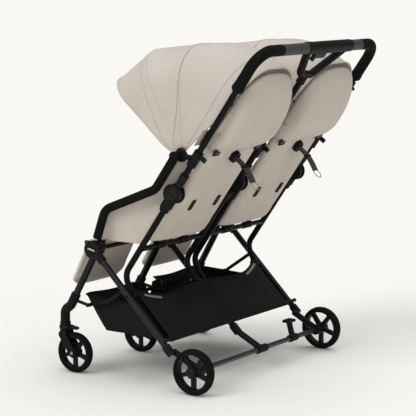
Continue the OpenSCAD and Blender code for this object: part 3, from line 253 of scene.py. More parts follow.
# open sheet from a grid of points, with a live thickness on its inner side
def makeSheet(name, grid, finish, thick, inside):
    faces = flipFor(grid, gridFaces(*grid.shape[:2]), np.asarray(inside, float))
    piece = makePiece(name, grid, faces, finish, sheetMap(grid))
    wall = piece.modifiers.new("thickness", "SOLIDIFY")
    wall.thickness, wall.offset = thick, -1.0
    return piece, meshArea(grid, faces)


# closed form from rings of points: an open run gets a face at each end, a loop joins its last ring to its first
def makeTube(name, rings, finish, mapping=None, loop=False):
    rows, cols = rings.shape[:2]
    faces = gridFaces(rows, cols, closeRows=loop, closeCols=True)
    centre = rings.mean(1)
    after = np.roll(centre, -1, 0)
    middle = np.repeat(((centre + after) / 2)[:len(faces) // cols], cols, 0)
    p = rings.reshape(-1, 3)[faces]
    normal = np.cross(p[:, 2] - p[:, 0], p[:, 3] - p[:, 1])
    turned = ((p.mean(1) - middle) * normal).sum() < 0
    quads = [list(f) for f in (faces[:, ::-1] if turned else faces)]
    if not loop:
        head, tail = list(range(cols)), list(range((rows - 1) * cols, rows * cols))
        quads += [head, tail[::-1]] if turned else [head[::-1], tail]
    return makePiece(name, rings, quads, finish, mapping)

def ringsAlong(path, section, ref, loop=False):  # carry a closed section along a path, its first axis kept near ref
    path = np.asarray(path, float)
    along = np.roll(path, -1, 0) - np.roll(path, 1, 0) if loop else np.gradient(path, axis=0)
    along /= np.linalg.norm(along, axis=1, keepdims=True)
    first = np.broadcast_to(np.asarray(ref, float), path.shape)
    first = first - (first * along).sum(1, keepdims=True) * along
    first = first / np.linalg.norm(first, axis=1, keepdims=True)
    second = np.cross(along, first)
    section = np.asarray(section, float)
    section = section if section.ndim == 3 else np.broadcast_to(section, (len(path),) + section.shape)
    return path[:, None] + section[:, :, :1] * first[:, None] + section[:, :, 1:] * second[:, None]


def runAlong(name, path, section, ref, finish, mapping=None, loop=False):  # piece of one section carried along a path
    return makeTube(name, ringsAlong(path, section, ref, loop), finish, mapping, loop)


def roundSection(radius, count=12):  # even steps round a circle
    a = np.linspace(0, 2 * np.pi, count, endpoint=False)
    return np.stack([np.cos(a), np.sin(a)], -1) * radius


def boxSection(width, thick, count=24, power=6.0):  # rounded rectangle
    a = np.linspace(0, 2 * np.pi, count, endpoint=False)
    c, s = np.cos(a), np.sin(a)
    k = (np.abs(c) ** power + np.abs(s) ** power) ** (-1 / power)
    return np.stack([c * k * width / 2, s * k * thick / 2], -1)


def squareRound(a, powerX, powerY):  # circle pushed towards a square: signed powers of cosine and sine
    c, s = np.cos(a), np.sin(a)
    return np.sign(c) * np.abs(c) ** powerX, np.sign(s) * np.abs(s) ** powerY


def roundEnd(t, power=2.0, least=0.0):  # quarter round that falls from one as t goes from nought to one
    return np.sqrt(np.clip(1 - np.clip(t, 0, 1) ** power, least, 1))


def resample(points, count):  # even steps along a line of points
    points = np.asarray(points, float)
    run = np.concatenate([[0], np.cumsum(np.linalg.norm(np.diff(points, axis=0), axis=1))])
    at = np.linspace(0, run[-1], count)
    return np.stack([np.interp(at, run, points[:, k]) for k in range(points.shape[1])], -1)


def rounded(points, count, passes):  # even steps with the corners worked round
    line = resample(points, count)
    for _ in range(passes):
        line[1:-1] = (line[:-2] + 2 * line[1:-1] + line[2:]) / 4
    return line


def onTube(u, off, x):  # points along the push tubes, off in front of their plane
    u, off, x = np.broadcast_arrays(*(np.asarray(part, float) for part in (u, off, x)))
    flat = seatBar + u[..., None] * tubeUp + off[..., None] * tubeFwd
    return np.concatenate([x[..., None], flat], -1)


def onLeg(s, off, x):  # points along the rear legs, off above their plane
    s, off, x = np.broadcast_arrays(*(np.asarray(part, float) for part in (s, off, x)))
    flat = hubAt + s[..., None] * legRun + off[..., None] * legUp
    return np.concatenate([x[..., None], flat], -1)


def point(x, yz):  # side plane point at a width
    return (float(x), float(yz[0]), float(yz[1]))


def mirrored(piece, name):  # the same piece on the other side, turned right way out again
    mesh = piece.data.copy()
    mesh.name = name
    co = np.zeros(len(mesh.vertices) * 3)
    mesh.vertices.foreach_get("co", co)
    co = co.reshape(-1, 3) * np.array([-1, 1, 1])
    mesh.vertices.foreach_set("co", co.ravel())
    mesh.flip_normals()
    mesh.update()
    other = bpy.data.objects.new(name, mesh)
    bpy.context.scene.collection.objects.link(other)
    for m in piece.modifiers:
        new = other.modifiers.new(m.name, m.type)
        for key in ("thickness", "offset", "levels", "render_levels"):
            if hasattr(m, key):
                setattr(new, key, getattr(m, key))
    return other


# pressure in a closed cloth skin: remesh, blow up a little, cap each point's travel
def swell(piece, voxelMm, capMm, pressure):
    scene = bpy.context.scene
    shrink = piece.modifiers.new("voxels", "REMESH")
    shrink.mode, shrink.voxel_size = "VOXEL", voxelMm / 1000
    found = piece.evaluated_get(bpy.context.evaluated_depsgraph_get())
    mesh = bpy.data.meshes.new_from_object(found)
    piece.modifiers.clear()
    old, piece.data = piece.data, mesh
    for slot in old.materials:
        if slot.name not in [m.name for m in mesh.materials if m]:
            mesh.materials.append(slot)
    mesh.polygons.foreach_set("use_smooth", np.ones(len(mesh.polygons), bool))
    rest = np.zeros(len(mesh.vertices) * 3)
    mesh.vertices.foreach_get("co", rest)
    cloth = piece.modifiers.new("cloth", "CLOTH")
    cloth.settings.use_pressure = True
    cloth.settings.uniform_pressure_force = pressure
    cloth.settings.effector_weights.gravity = 0
    cloth.settings.mass = 0.3
    cloth.settings.tension_stiffness = cloth.settings.compression_stiffness = 20
    cloth.settings.bending_stiffness = 0.5
    cloth.point_cache.frame_start, cloth.point_cache.frame_end = 1, 20
    for step in range(1, 21):
        scene.frame_set(step)
    moved = np.zeros(len(rest))
    found = piece.evaluated_get(bpy.context.evaluated_depsgraph_get())
    found.data.vertices.foreach_get("co", moved)
    piece.modifiers.clear()
    scene.frame_set(1)
    step = (moved - rest).reshape(-1, 3)
    size = np.linalg.norm(step, axis=1, keepdims=True)
    step *= np.minimum(1, capMm / 1000 / np.maximum(size, 1e-9))
    mesh.vertices.foreach_set("co", rest + step.ravel())
    mesh.update()
    print("swelled", piece.name, len(mesh.vertices), "points, most", round(float(size.max()) * 1000, 1), "mm")


def reshape(piece, change):  # a vertex move over the whole piece at once
    co = np.zeros(len(piece.data.vertices) * 3)
    piece.data.vertices.foreach_get("co", co)
    piece.data.vertices.foreach_set("co", change(co.reshape(-1, 3)).ravel())
    piece.data.update()


def smoothOnce(piece):  # one level of subdivision
    sub = piece.modifiers.new("smooth", "SUBSURF")
    sub.levels = sub.render_levels = 1


def ease(t):  # three t squared less two t cubed
    t = np.clip(t, 0, 1)
    return t * t * (3 - 2 * t)


def dressSlots(names, finish):  # one finish on every slot of the named parts
    for name in names:
        for held in nodes[name].material_slots:
            held.material = finish


def fit(piece, body, fold=None):  # a piece's body, and a mesh of its own when a fold is given
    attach(piece, body)
    if fold:
        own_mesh(piece)


def fitPads(left, right, node, body, fold=None):  # both sides of a padded piece, each in its node's place
    for side, pad in (("left", left), ("right", right)):
        smoothOnce(pad)
        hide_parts(node + side)
        fit(pad, body.format(side), fold)


def webMap(width, run):  # strap map: across by an even share of the width, along by the run
    return np.stack(np.broadcast_arrays(np.linspace(0, width, 16)[None, :], run[:, None]), -1)


seatFold = dict(joint="frame_fold", axis=(0.0, *legUp), anchor=point(0, hubAt), keep=0.45)  # seat cloth on the legs
backFold = dict(joint="frame_fold", axis=(0.0, *tubeUp), anchor=point(0, seatBar + tubeUp * 0.636), keep=0.62)

# camera at the photograph's angle, fitted on the wheels, hubs and handlebar
shot = dict(azimuth=124.05, elevation=8.16, distance=5.25, lens=143.2, target=(0.0, -0.049, 0.5))
turnAz, turnEl = math.radians(shot["azimuth"]), math.radians(shot["elevation"])
backward = np.array([math.sin(turnAz) * math.cos(turnEl), -math.cos(turnAz) * math.cos(turnEl), math.sin(turnEl)])
lensData = bpy.data.cameras.new("camera")
lensData.lens, lensData.sensor_width = shot["lens"], 36.0
camera = bpy.data.objects.new("camera", lensData)
camera.location = np.array(shot["target"]) + backward * shot["distance"]
camera.rotation_euler = (math.radians(90) - turnEl, 0.0, math.radians(shot["azimuth"]))
bpy.context.scene.collection.objects.link(camera)
bpy.context.scene.camera = camera

# canopies: one cloth surface carried from the rear edge over both bows to the visor edge
# at each angle about the mount the cloth runs up one side, round a corner, over the crown and down again
canopy = dict(degs=(47, 93, 119, 143), reach=(0.345, 0.319, 0.3445, 0.357), widths=(0.1460, 0.1460, 0.1485, 0.1490),
              corner=0.1175, tuck=5.0, tuckTo=70, foot=0.020, crown=0.003, lean=26.0, rearPuff=0.028,
              thick=0.0016, across=97, seamSteps=161)
rearDeg, midDeg, frontDeg, visorDeg = canopy["degs"]


def ribLine(deg):  # straight line between two rib ends, as a distance from the mount
    keys, ends = np.asarray(canopy["degs"], float), np.asarray(canopy["reach"], float)
    k = np.clip(np.searchsorted(keys, deg, side="right") - 1, 0, 2)
    a, b, turn = np.radians(keys[k]), np.radians(keys[k + 1]), np.radians(deg)
    return ends[k] * ends[k + 1] * np.sin(b - a) / (ends[k] * np.sin(turn - a) + ends[k + 1] * np.sin(b - turn))


def betweenRibs(deg, first, last):  # a half sine between two ribs
    return np.sin(np.pi * np.clip((deg - first) / (last - first), 0, 1))


# cloth point at an angle and a share of the way across: up the side, round the corner arc, over the crown and back
# the edge near the foot leans forward by an angle that dies away with the height
def coverAt(deg, s, lift=0.0):
    rearPuff = betweenRibs(deg, rearDeg, midDeg)
    reach = ribLine(deg) + lift + canopy["rearPuff"] * rearPuff
    half = np.interp(deg, canopy["degs"], canopy["widths"]) + lift
    c, foot = canopy["corner"], canopy["foot"]
    side, arc, top = reach - c - foot, c * np.pi / 2, 2 * (half - c)
    run = np.where(s <= 0.5, s, 1 - s) * (2 * side + 2 * arc + top)
    way = np.where(s <= 0.5, 1.0, -1.0)
    bend = np.clip((run - side) / c, 0, np.pi / 2)
    overTop = half - c - (run - side - arc)
    x = np.where(run < side, half, np.where(run < side + arc, half - c + c * np.cos(bend), overTop))
    h = np.where(run < side, foot + run, np.where(run < side + arc, reach - c + c * np.sin(bend), reach))
    h = h + canopy["crown"] * np.clip(1 - (x / half) ** 2, 0, 1) * ease((h - 0.15) / 0.2)
    # soft hollows of the side cloth between the ribs, and fine pulls near the hub
    slack = rearPuff ** 2 + 0.7 * betweenRibs(deg, midDeg, frontDeg) ** 2
    slack = slack + 0.5 * betweenRibs(deg, frontDeg, visorDeg) ** 2
    hollow = ease((reach - h) / 0.2) * ease((h - foot) / 0.12)
    x = x - 0.002 * slack * hollow + 0.0007 * np.sin(np.radians(deg) * 46) * ease((0.2 - h) / 0.15)
    angle = np.radians(deg + leanAt(deg, h))
    return np.stack([way * x, mountAt[0] + h * np.cos(angle), mountAt[1] + h * np.sin(angle)], -1)


# degrees of forward lean: most at the visor edge, dying away with height; the rear edge tucks back mid way
def leanAt(deg, h):
    forward = canopy["lean"] * np.clip((deg - midDeg) / (visorDeg - midDeg), 0, 1) ** 2 * np.exp((0.03 - h) / 0.07)
    back = np.clip((canopy["tuckTo"] - deg) / (canopy["tuckTo"] - rearDeg), 0, 1) ** 2
    return forward - canopy["tuck"] * back * np.sin(np.pi * np.clip(h / canopy["reach"][0], 0, 1))


def seamLine(deg, amount, fall):  # a sewn line whose angle swings forward towards the foot
    along = np.linspace(0, 1, canopy["seamSteps"])
    own = np.full(len(along), float(deg))
    if amount:
        first = coverAt(own, along)
        h = np.hypot(first[:, 1] - mountAt[0], first[:, 2] - mountAt[1])
        aim = np.clip(deg + amount * np.exp((0.03 - h) / fall), rearDeg, 160)
        own = aim - leanAt(aim, h)
        own = np.clip(aim - leanAt(own, h), deg, visorDeg - 0.4)
    return coverAt(own, along, 0.0002)


def acrossBow(deg):  # forward direction square to a bow
    return np.array([0.0, -math.sin(math.radians(deg)), math.cos(math.radians(deg))])


pivotPoint = np.array([0.0, *mountAt])


def hangCover(piece, part, side):  # each panel, and what is sewn on it: rear and front stay where they are made, the visor rides on the front canopy body
    frontBody = "canopy_front_" + side
    if part == "rear":
        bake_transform(piece)
    elif part == "front":
        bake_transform(piece)
    else:
        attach(piece, frontBody)
        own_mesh(piece)


panels = {"rear": np.linspace(rearDeg, midDeg, 40), "front": np.linspace(midDeg, frontDeg, 26),
          "visor": np.linspace(frontDeg, visorDeg, 24)}
# bindings along the bows and edges: angle, forward swing, its fall with height, radius, panel
seams = {"rear_edge": (rearDeg + 0.3, 0, 0.1, 0.0026, "rear"), "rear_seam": (57, 0, 0.1, 0.0009, "rear"),
         "mid_seam": (midDeg, 45, 0.05, 0.0012, "front"), "front_seam": (frontDeg, 40, 0.12, 0.0008, "visor"),
         "visor_edge": (visorDeg, 0, 0.1, 0.0028, "visor")}
for side, sign in sides.items():
    seatShift = np.array([sign * seatX, 0.0, 0.0])
    core = seatShift + pivotPoint + np.array([0.0, -0.03, 0.12])
    for part, degrees in panels.items():
        grid = coverAt(degrees[:, None], np.linspace(0, 1, canopy["across"])[None, :]) + seatShift
        piece, area = makeSheet("canopy_%s_%s" % (part, side), grid, canopyCloth, canopy["thick"], core)
        if part == "rear":
            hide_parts("canopy_cover_" + side)
        hangCover(piece, part, side)
    for seam, (deg, amount, fall, radius, part) in seams.items():
        path = seamLine(deg, amount, fall) + seatShift
        finish = canopyCloth if "edge" in seam else trimCloth
        binding = runAlong("canopy_%s_%s" % (seam, side), path, roundSection(radius, 8), acrossBow(deg), finish)
        hangCover(binding, part, side)
print("canopies sewn")

# seat backs: a flat lower panel that swells to a deep round head end
backPad = dict(start=0.026, height=0.632, half=0.1405, thick=0.019, head=0.071, headAt=0.735, face=0.014, cols=96)


def backHalf(v):  # half width with a drawn-in waist and a round head
    top = np.clip((v - 0.73) / 0.27, 0, 1)
    low = np.clip((0.035 - v) / 0.035, 0, 1)
    return backPad["half"] * (1 - 0.03 * np.sin(np.pi * v)) * (1 - top ** 3.4) ** (1 / 2.6) * (1 - 0.03 * low ** 2)


def backRear(v):  # depth behind the tube plane: a parabola swells the head end
    span = np.where(v < backPad["headAt"], 0.165, 0.25)
    swellHead = np.clip(1 - ((v - backPad["headAt"]) / span) ** 2, 0, 1)
    ends = roundEnd((v - 0.86) / 0.14, 2.4) * roundEnd((0.03 - v) / 0.03, 2, 0.04)
    return (backPad["thick"] + (backPad["head"] - backPad["thick"]) * swellHead) * ends


def backFace(v):  # depth before the tube plane, rounded off at both ends
    return backPad["face"] * roundEnd((v - 0.90) / 0.10, 2.4) * roundEnd((0.03 - v) / 0.03, 2, 0.04)


def backPiece(name):  # superellipse rings, flatter below and rounder at the head
    v = np.concatenate([[0.0], np.linspace(0.004, 0.90, 66), np.linspace(0.91, 0.9995, 22)])[:, None]
    a = np.linspace(0, 2 * np.pi, backPad["cols"], endpoint=False)[None, :]
    power = 2 / (3.6 - 1.2 * ease((v - 0.55) / 0.2))
    cx, cy = squareRound(a, power, power)
    off = np.where(cy > 0, backFace(v), backRear(v)) * cy
    return makeTube(name, onTube(backPad["start"] + backPad["height"] * v, off, seatX + backHalf(v) * cx), seatCloth)


def sewBack(co):  # sewn channels on the face, and a seam where the head end begins
    u, off = (co[:, 1:] - seatBar) @ tubeUp, (co[:, 1:] - seatBar) @ tubeFwd
    depth = sum(0.0035 * np.exp(-((u - at) / 0.006) ** 2) for at in (0.16, 0.29, 0.42)) * (off > 0.004)
    depth = depth + 0.0022 * np.exp(-((u - 0.402) / 0.005) ** 2) * (off < 0)
    return co + (depth * np.where(off > 0, -1.0, 1.0))[:, None] * tubeFwdWay


leftBack = backPiece("seat_back_pad_left")
swell(leftBack, 5.0, 5.0, 3.0)
reshape(leftBack, sewBack)
fitPads(leftBack, mirrored(leftBack, "seat_back_pad_right"), "seat_back_", "recline_{}", backFold)
print("seat backs padded")

backCo = np.zeros(len(leftBack.data.vertices) * 3)
leftBack.data.vertices.foreach_get("co", backCo)
backCo = backCo.reshape(-1, 3)
backU, backOff = (backCo[:, 1:] - seatBar) @ tubeUp, (backCo[:, 1:] - seatBar) @ tubeFwd


def rearSkin(x, u):  # rearmost of the six pad points nearest a place on the back
    away = (backCo[:, 0] - seatX - x) ** 2 + (backU - u) ** 2 + (backOff > -0.004)
    return float(backOff[np.argsort(away)[:6]].min())


# loops that hold each back on its crossbar
loops = dict(width=0.046, radius=0.0112, at=(-0.062, 0.062), tail=0.034, thick=0.0014)
for side, sign in sides.items():
    for k, at in enumerate(loops["at"]):
        a = np.linspace(math.radians(70), math.radians(430), 40)
        ring = np.stack([np.cos(a), np.sin(a)], -1) * loops["radius"]
        line = np.concatenate([[[ring[0, 0], loops["tail"]]], ring, [[ring[-1, 0] - 0.002, loops["tail"]]]])
        line = rounded(line, 60, 2)
        x = sign * seatX + at + np.linspace(-loops["width"] / 2, loops["width"] / 2, 6)
        grid = onTube(line[:, 1:], line[:, :1] * 0.9, x[None, :])
        inside = onTube(0, 0, sign * seatX + at)
        loop, area = makeSheet("back_loop_%s_%d" % (side, k), grid, bindingBlack, loops["thick"], inside)
        fit(loop, "recline_" + side)

# seat bases: flat underside, crowned top, drawn-in sides
basePad = dict(rear=-0.078, front=-0.280, half=0.1425, low=0.4265, edge=0.011, crown=0.032, cols=88)


def basePiece(name):  # superellipse rings, crowned by a sine and flat below
    v = np.concatenate([np.linspace(0, 0.06, 8), np.linspace(0.08, 0.92, 40), np.linspace(0.94, 1, 8)])[:, None]
    a = np.linspace(0, 2 * np.pi, basePad["cols"], endpoint=False)[None, :]
    cx, cz = squareRound(a, 0.5, 0.5)
    ends = roundEnd((0.07 - v) / 0.07, 2, 0.02) * roundEnd((v - 0.93) / 0.07, 2, 0.02)
    half = basePad["half"] * (1 - 0.03 * np.sin(np.pi * v)) * (0.94 + 0.06 * ends)
    half = half * (1 - 0.2 * np.clip((v - 0.78) / 0.22, 0, 1) ** 2)  # rounded front corners
    rise = (basePad["crown"] - basePad["edge"]) * np.sin(np.pi * v) ** 0.5 * (1 - 0.4 * np.abs(cx) ** 3)
    z = 0.008 * ends * (1 + np.minimum(cz, 0)) + np.maximum(cz, 0) * (basePad["edge"] + rise) * ends
    y = basePad["rear"] + (basePad["front"] - basePad["rear"]) * v
    rings = np.broadcast_arrays(seatX + half * cx, y, basePad["low"] + np.maximum(z, 0.0))
    return makeTube(name, np.stack(rings, -1), seatCloth)


def sewBase(co):  # two sewn channels and a flat underside
    groove = sum(0.004 * np.exp(-((co[:, 0] - seatX - at) / 0.006) ** 2) for at in (-0.07, 0.07)) * (co[:, 2] > 0.445)
    flat = co.copy()
    flat[:, 2] = np.maximum(co[:, 2] - groove, basePad["low"])
    return flat


leftBase = basePiece("seat_base_pad_left")
swell(leftBase, 5.0, 5.0, 3.0)
reshape(leftBase, sewBase)
fitPads(leftBase, mirrored(leftBase, "seat_base_pad_right"), "seat_base_", "rear_frame", seatFold)
print("seat bases padded")

# leg rests: soft flaps hung from the seat front, round at the lower corners
legPad = dict(pin=(-0.286, 0.412), lean=27.0, length=0.180, top=0.007, half=0.1325, thick=0.031, cols=80)
legLean = math.radians(legPad["lean"])
legDown = np.array([-math.sin(legLean), -math.cos(legLean)])
legFace = np.array([-math.cos(legLean), math.sin(legLean)])


def legPiece(name):  # flattened rings down the flap, narrowed at the lower corners
    v = np.concatenate([np.linspace(0, 0.1, 9), np.linspace(0.12, 0.80, 26), np.linspace(0.82, 1, 16)])[:, None]
    a = np.linspace(0, 2 * np.pi, legPad["cols"], endpoint=False)[None, :]
    cx, cy = squareRound(a, 0.55, 0.75)
    ends = roundEnd((0.10 - v) / 0.10, 2, 0.02) * roundEnd((v - 0.86) / 0.14, 2, 0.01)
    corner = (1 - np.clip((v - 0.76) / 0.24, 0, 1) ** 3) ** 0.42
    half = legPad["half"] * (1 - 0.025 * np.sin(np.pi * v)) * np.maximum(corner, 0.62)
    deep = legPad["thick"] / 2 * cy * ends * (0.8 + 0.2 * np.sin(np.pi * v))
    down = legPad["length"] * v - legPad["top"]
    flat = np.asarray(legPad["pin"]) + down[..., None] * legDown + deep[..., None] * legFace
    return makeTube(name, np.concatenate([(seatX + half * cx)[..., None], flat], -1), seatCloth)


leftLeg = legPiece("leg_rest_pad_left")
swell(leftLeg, 5.0, 5.0, 4.0)
fitPads(leftLeg, mirrored(leftLeg, "leg_rest_pad_right"), "leg_rest_", "leg_{}")
print("leg rests padded")

# side cloth between armrest, push tube and seat: a ruled sheet with a little belly
sideCloth = dict(outer=0.3285, inner=0.0375, belly=0.004, flare=0.020, thick=0.0016, hem=0.0021)
armLine = np.array([(-0.206, 0.432), (-0.181, 0.532), (-0.002, 0.607), (mountAt[0] - 0.012, mountAt[1] - 0.020)])
seatLine = np.array([(-0.205, 0.427), (-0.066, 0.427), tuple(seatBar + tubeUp * 0.03 + tubeFwd * 0.014),
                     tuple(seatBar + tubeUp * 0.342 + tubeFwd * 0.014)])
upper, lower = rounded(armLine, 60, 4), resample(seatLine, 60)
sideFold = dict(seatFold, keep=0.16)
for side, sign in sides.items():
    for place in ("outer", "inner"):
        s, t = np.linspace(0, 1, 60)[:, None], np.linspace(0, 1, 36)[None, :]
        flat = upper[:, None] * (1 - t[..., None]) + lower[:, None] * t[..., None]
        belly = sideCloth["belly"] * np.sin(np.pi * s) * np.sin(np.pi * t) * (1 if place == "outer" else -0.3)
        # the outer cloth flares out to the armrest, but not beside the push tube and its hinge
        forward = (flat - seatBar) @ tubeFwd
        flare = sideCloth["flare"] * (1 - t) ** 2 * ease((forward - 0.035) / 0.05) * (place == "outer")
        grid = np.concatenate([sign * (sideCloth[place] - belly + flare)[..., None], flat], -1)
        inside = np.array([sign * seatX, -0.05, 0.55])
        sheet, area = makeSheet("side_cloth_%s_%s" % (place, side), grid, seatCloth, sideCloth["thick"], inside)
        if side == "left" and place == "outer":
            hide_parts("side_panels")
        hemRound = roundSection(sideCloth["hem"], 8)
        hem = runAlong("side_hem_%s_%s" % (place, side), grid[:, 0], hemRound, (1, 0, 0), trimCloth)
        for cloth in (sheet, hem):
            fit(cloth, "rear_frame", sideFold)
print("side cloth hung")

# basket tub: rings of a rounded rectangle rise from a sagging floor to a rim that follows braces and legs
tub = dict(half=0.314, floor=0.137, sag=0.0045, frontLow=-0.218, frontTop=-0.253, lobe=0.055, lobeLow=0.011,
           lobeRise=0.043, rearLow=0.012, rearTop=-0.072, frontRim=0.201, rearRim=0.232, dip=0.008, thick=0.0018,
           cut=(0.80, 0.50), binding=0.0032, cols=360, corner=20.0)


def tubGrid():  # the floor grows out by shares of the rim, then the wall rises to it
    a = np.linspace(0, 2 * np.pi, tub["cols"], endpoint=False)[None, :]
    k = np.concatenate([np.linspace(0.02, 0.93, 14), np.linspace(0.95, 1.0, 5), np.linspace(1.04, 2.0, 18)])[:, None]
    c, s = np.cos(a), np.sin(a)
    stretch = (np.abs(c) ** tub["corner"] + np.abs(s) ** tub["corner"]) ** (-1 / tub["corner"])
    px, py = c * stretch, s * stretch  # py = 1 is the rear
    across = np.abs(tub["half"] * px)
    floorShare, wall = np.minimum(k, 1.0), np.maximum(k - 1, 0.0)
    lobe = ease((across - 0.052) / 0.014)
    lean = (tub["frontTop"] - tub["lobe"] * lobe - tub["frontLow"]) * wall
    front = tub["frontLow"] - tub["lobeLow"] * lobe * (1 - wall) + lean
    rear = tub["rearLow"] + (tub["rearTop"] - tub["rearLow"]) * wall
    y = (front + rear) / 2 + (rear - front) / 2 * py * floorShare
    x = tub["half"] * px * floorShare * (1 + 0.012 * np.sin(np.pi * wall)) - 0.004 * np.sign(px) * wall
    # the rim dips only where the middle braces pass
    frontRim = tub["frontRim"] + tub["lobeRise"] * (1 - ease((across - 0.025) / 0.005) + ease((across - 0.046) / 0.012))
    rim = frontRim + (tub["rearRim"] - frontRim) * (py + 1) / 2
    rim = rim - tub["dip"] * np.sin(np.pi * np.clip(np.abs(px), 0, 1)) ** 2 * (np.abs(px) < 0.999)
    base = tub["floor"] - tub["sag"] * np.clip(1 - floorShare ** 3, 0, 1) + 0.003 * ease((floorShare - 0.9) / 0.1)
    crease = 0.0018 * np.sin(9 * a + 3 * wall) * np.sin(np.pi * wall)
    return np.stack(np.broadcast_arrays(x, y + crease, base + (rim - base) * wall), -1)


tubPoints = tubGrid()
tubFaces = flipFor(tubPoints, gridFaces(*tubPoints.shape[:2], closeCols=True), np.array([0, -0.12, 0.30]))
tubCap = np.arange(tub["cols"])
tubCap = tubCap[::-1] if tubFaces[0, 0] == 0 else tubCap  # closes the middle of the floor
basketTub = makePiece("basket_tub", tubPoints, [*tubFaces, tubCap], basketCloth, sheetMap(tubPoints))
wall = basketTub.modifiers.new("thickness", "SOLIDIFY")
wall.thickness, wall.offset = tub["thick"], -1.0
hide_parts("basket")
basketFold = dict(seatFold, anchor=point(0, hubAt - legUp * 0.012), keep=0.14)
rimRound = roundSection(tub["binding"], 8)
tubRim = makeTube("basket_rim", ringsAlong(tubPoints[-1], rimRound, (0, 0, 1), True), bindingBlack, None, True)
for piece in (basketTub, tubRim):
    fit(piece, "rear_frame", basketFold)

# rear panel of the basket, laid on the rear legs: scooped top edge, a little belly between the legs
panel = dict(half=0.332, low=0.362, top=0.2045, scoop=0.0145, ear=0.026, lift=0.0112, belly=0.006, thick=0.0018,
             glintSpans=((0.242, 0.309), (-0.320, -0.238)), glintSize=(0.0085, 0.0012))


def panelTop(x):  # two shallow scoops by a sine squared, with the outer corners drawn up the legs
    scoop = panel["scoop"] * np.sin(np.pi * np.abs(x) / 0.36) ** 2
    return panel["top"] + scoop - panel["ear"] * np.clip((np.abs(x) - 0.24) / 0.1, 0, 1) ** 1.4


px, pt = np.linspace(-panel["half"], panel["half"], 121)[None, :], np.linspace(0, 1, 44)[:, None]
down = panel["low"] + (panelTop(px) - panel["low"]) * pt
pull = np.sin(np.pi * np.abs(px) / panel["half"]) ** 2
ripple = 0.0012 * np.sin(38 * px + 6 * pt) * pt * pull
panelGrid = onLeg(down, panel["lift"] - panel["belly"] * pull * np.sin(np.pi * pt) ** 0.8 + ripple, px)
under = np.array([0, -0.2, 0.1])
rearPanel, panelArea = makeSheet("basket_rear_panel", panelGrid, basketCloth, panel["thick"], under)
trims = {"basket_top_hem": (panelGrid[-1], 0.0030), "basket_low_hem": (onLeg(0.3700, 0.0160, px[0] * 1.04), 0.0086),
         "basket_seam": (onLeg(np.linspace(0.358, 0.206, 40), panel["lift"] + 0.0006, 0.0), 0.0016)}
panelPieces = [rearPanel]
for name, (path, radius) in trims.items():
    panelPieces.append(runAlong(name, path, roundSection(radius, 10), legUpWay, bindingBlack))
# painted highlight: two light grey strips along the top hem, where the hem catches the light
for k, ends in enumerate(panel["glintSpans"]):
    x = np.linspace(*ends, 30)
    path = onLeg(panelTop(x) + 0.010, panel["lift"] + 0.0008 - panel["belly"] * 0.05, x)
    panelPieces.append(runAlong("basket_hem_highlight_%d" % k, path, boxSection(*panel["glintSize"], 12), legRunWay, hemHighlightPaint))
for piece in panelPieces:
    fit(piece, "rear_frame")
print("basket hung")

# black plastic slots for the harness: rings of a rounded frame lying on the back, as (x, up, wide, tall, floor)
slots = dict(high=(0.112, 0.388, 0.035, 0.022, 0.001), low=(0.067, 0.180, 0.018, 0.040, -0.0012))
slotRim = 0.0032
for side, sign in sides.items():
    for level, (dx, u, wide, tall, floorAt) in slots.items():
        outer, depth = boxSection(wide, tall, 48, 8.0), rearSkin(dx, u)
        inner = outer * (1 - 2 * slotRim / np.array([wide, tall]))
        steps = ((outer, 0.0), (outer, -0.0022), (outer * 0.97, -0.0028), (inner * 1.06, -0.0028), (inner, -0.0020),
                 (inner * 0.9, floorAt))
        for k, way in enumerate((-1.0, 1.0)):
            x = sign * seatX + way * dx
            rings = np.stack([onTube(u + ring[:, 1], depth + step, x + ring[:, 0]) for ring, step in steps])
            slotRing = makeTube("harness_slot_%s_%s_%d" % (side, level, k), rings, absBlack)
            fit(slotRing, "recline_" + side, backFold)
            if level == "high":  # the strap end shows in the upper slots
                path = onTube(np.linspace(u - 0.004, u + 0.004, 3), depth - 0.0022, x)
                ends = boxSection(wide * 0.72, 0.0016, 12), (1, 0, 0), webbingBlack, np.zeros((3, 12, 2))
                tail = runAlong("harness_tail_%s_%d" % (side, k), path, *ends)
                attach(tail, "recline_" + side)
                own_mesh(tail)

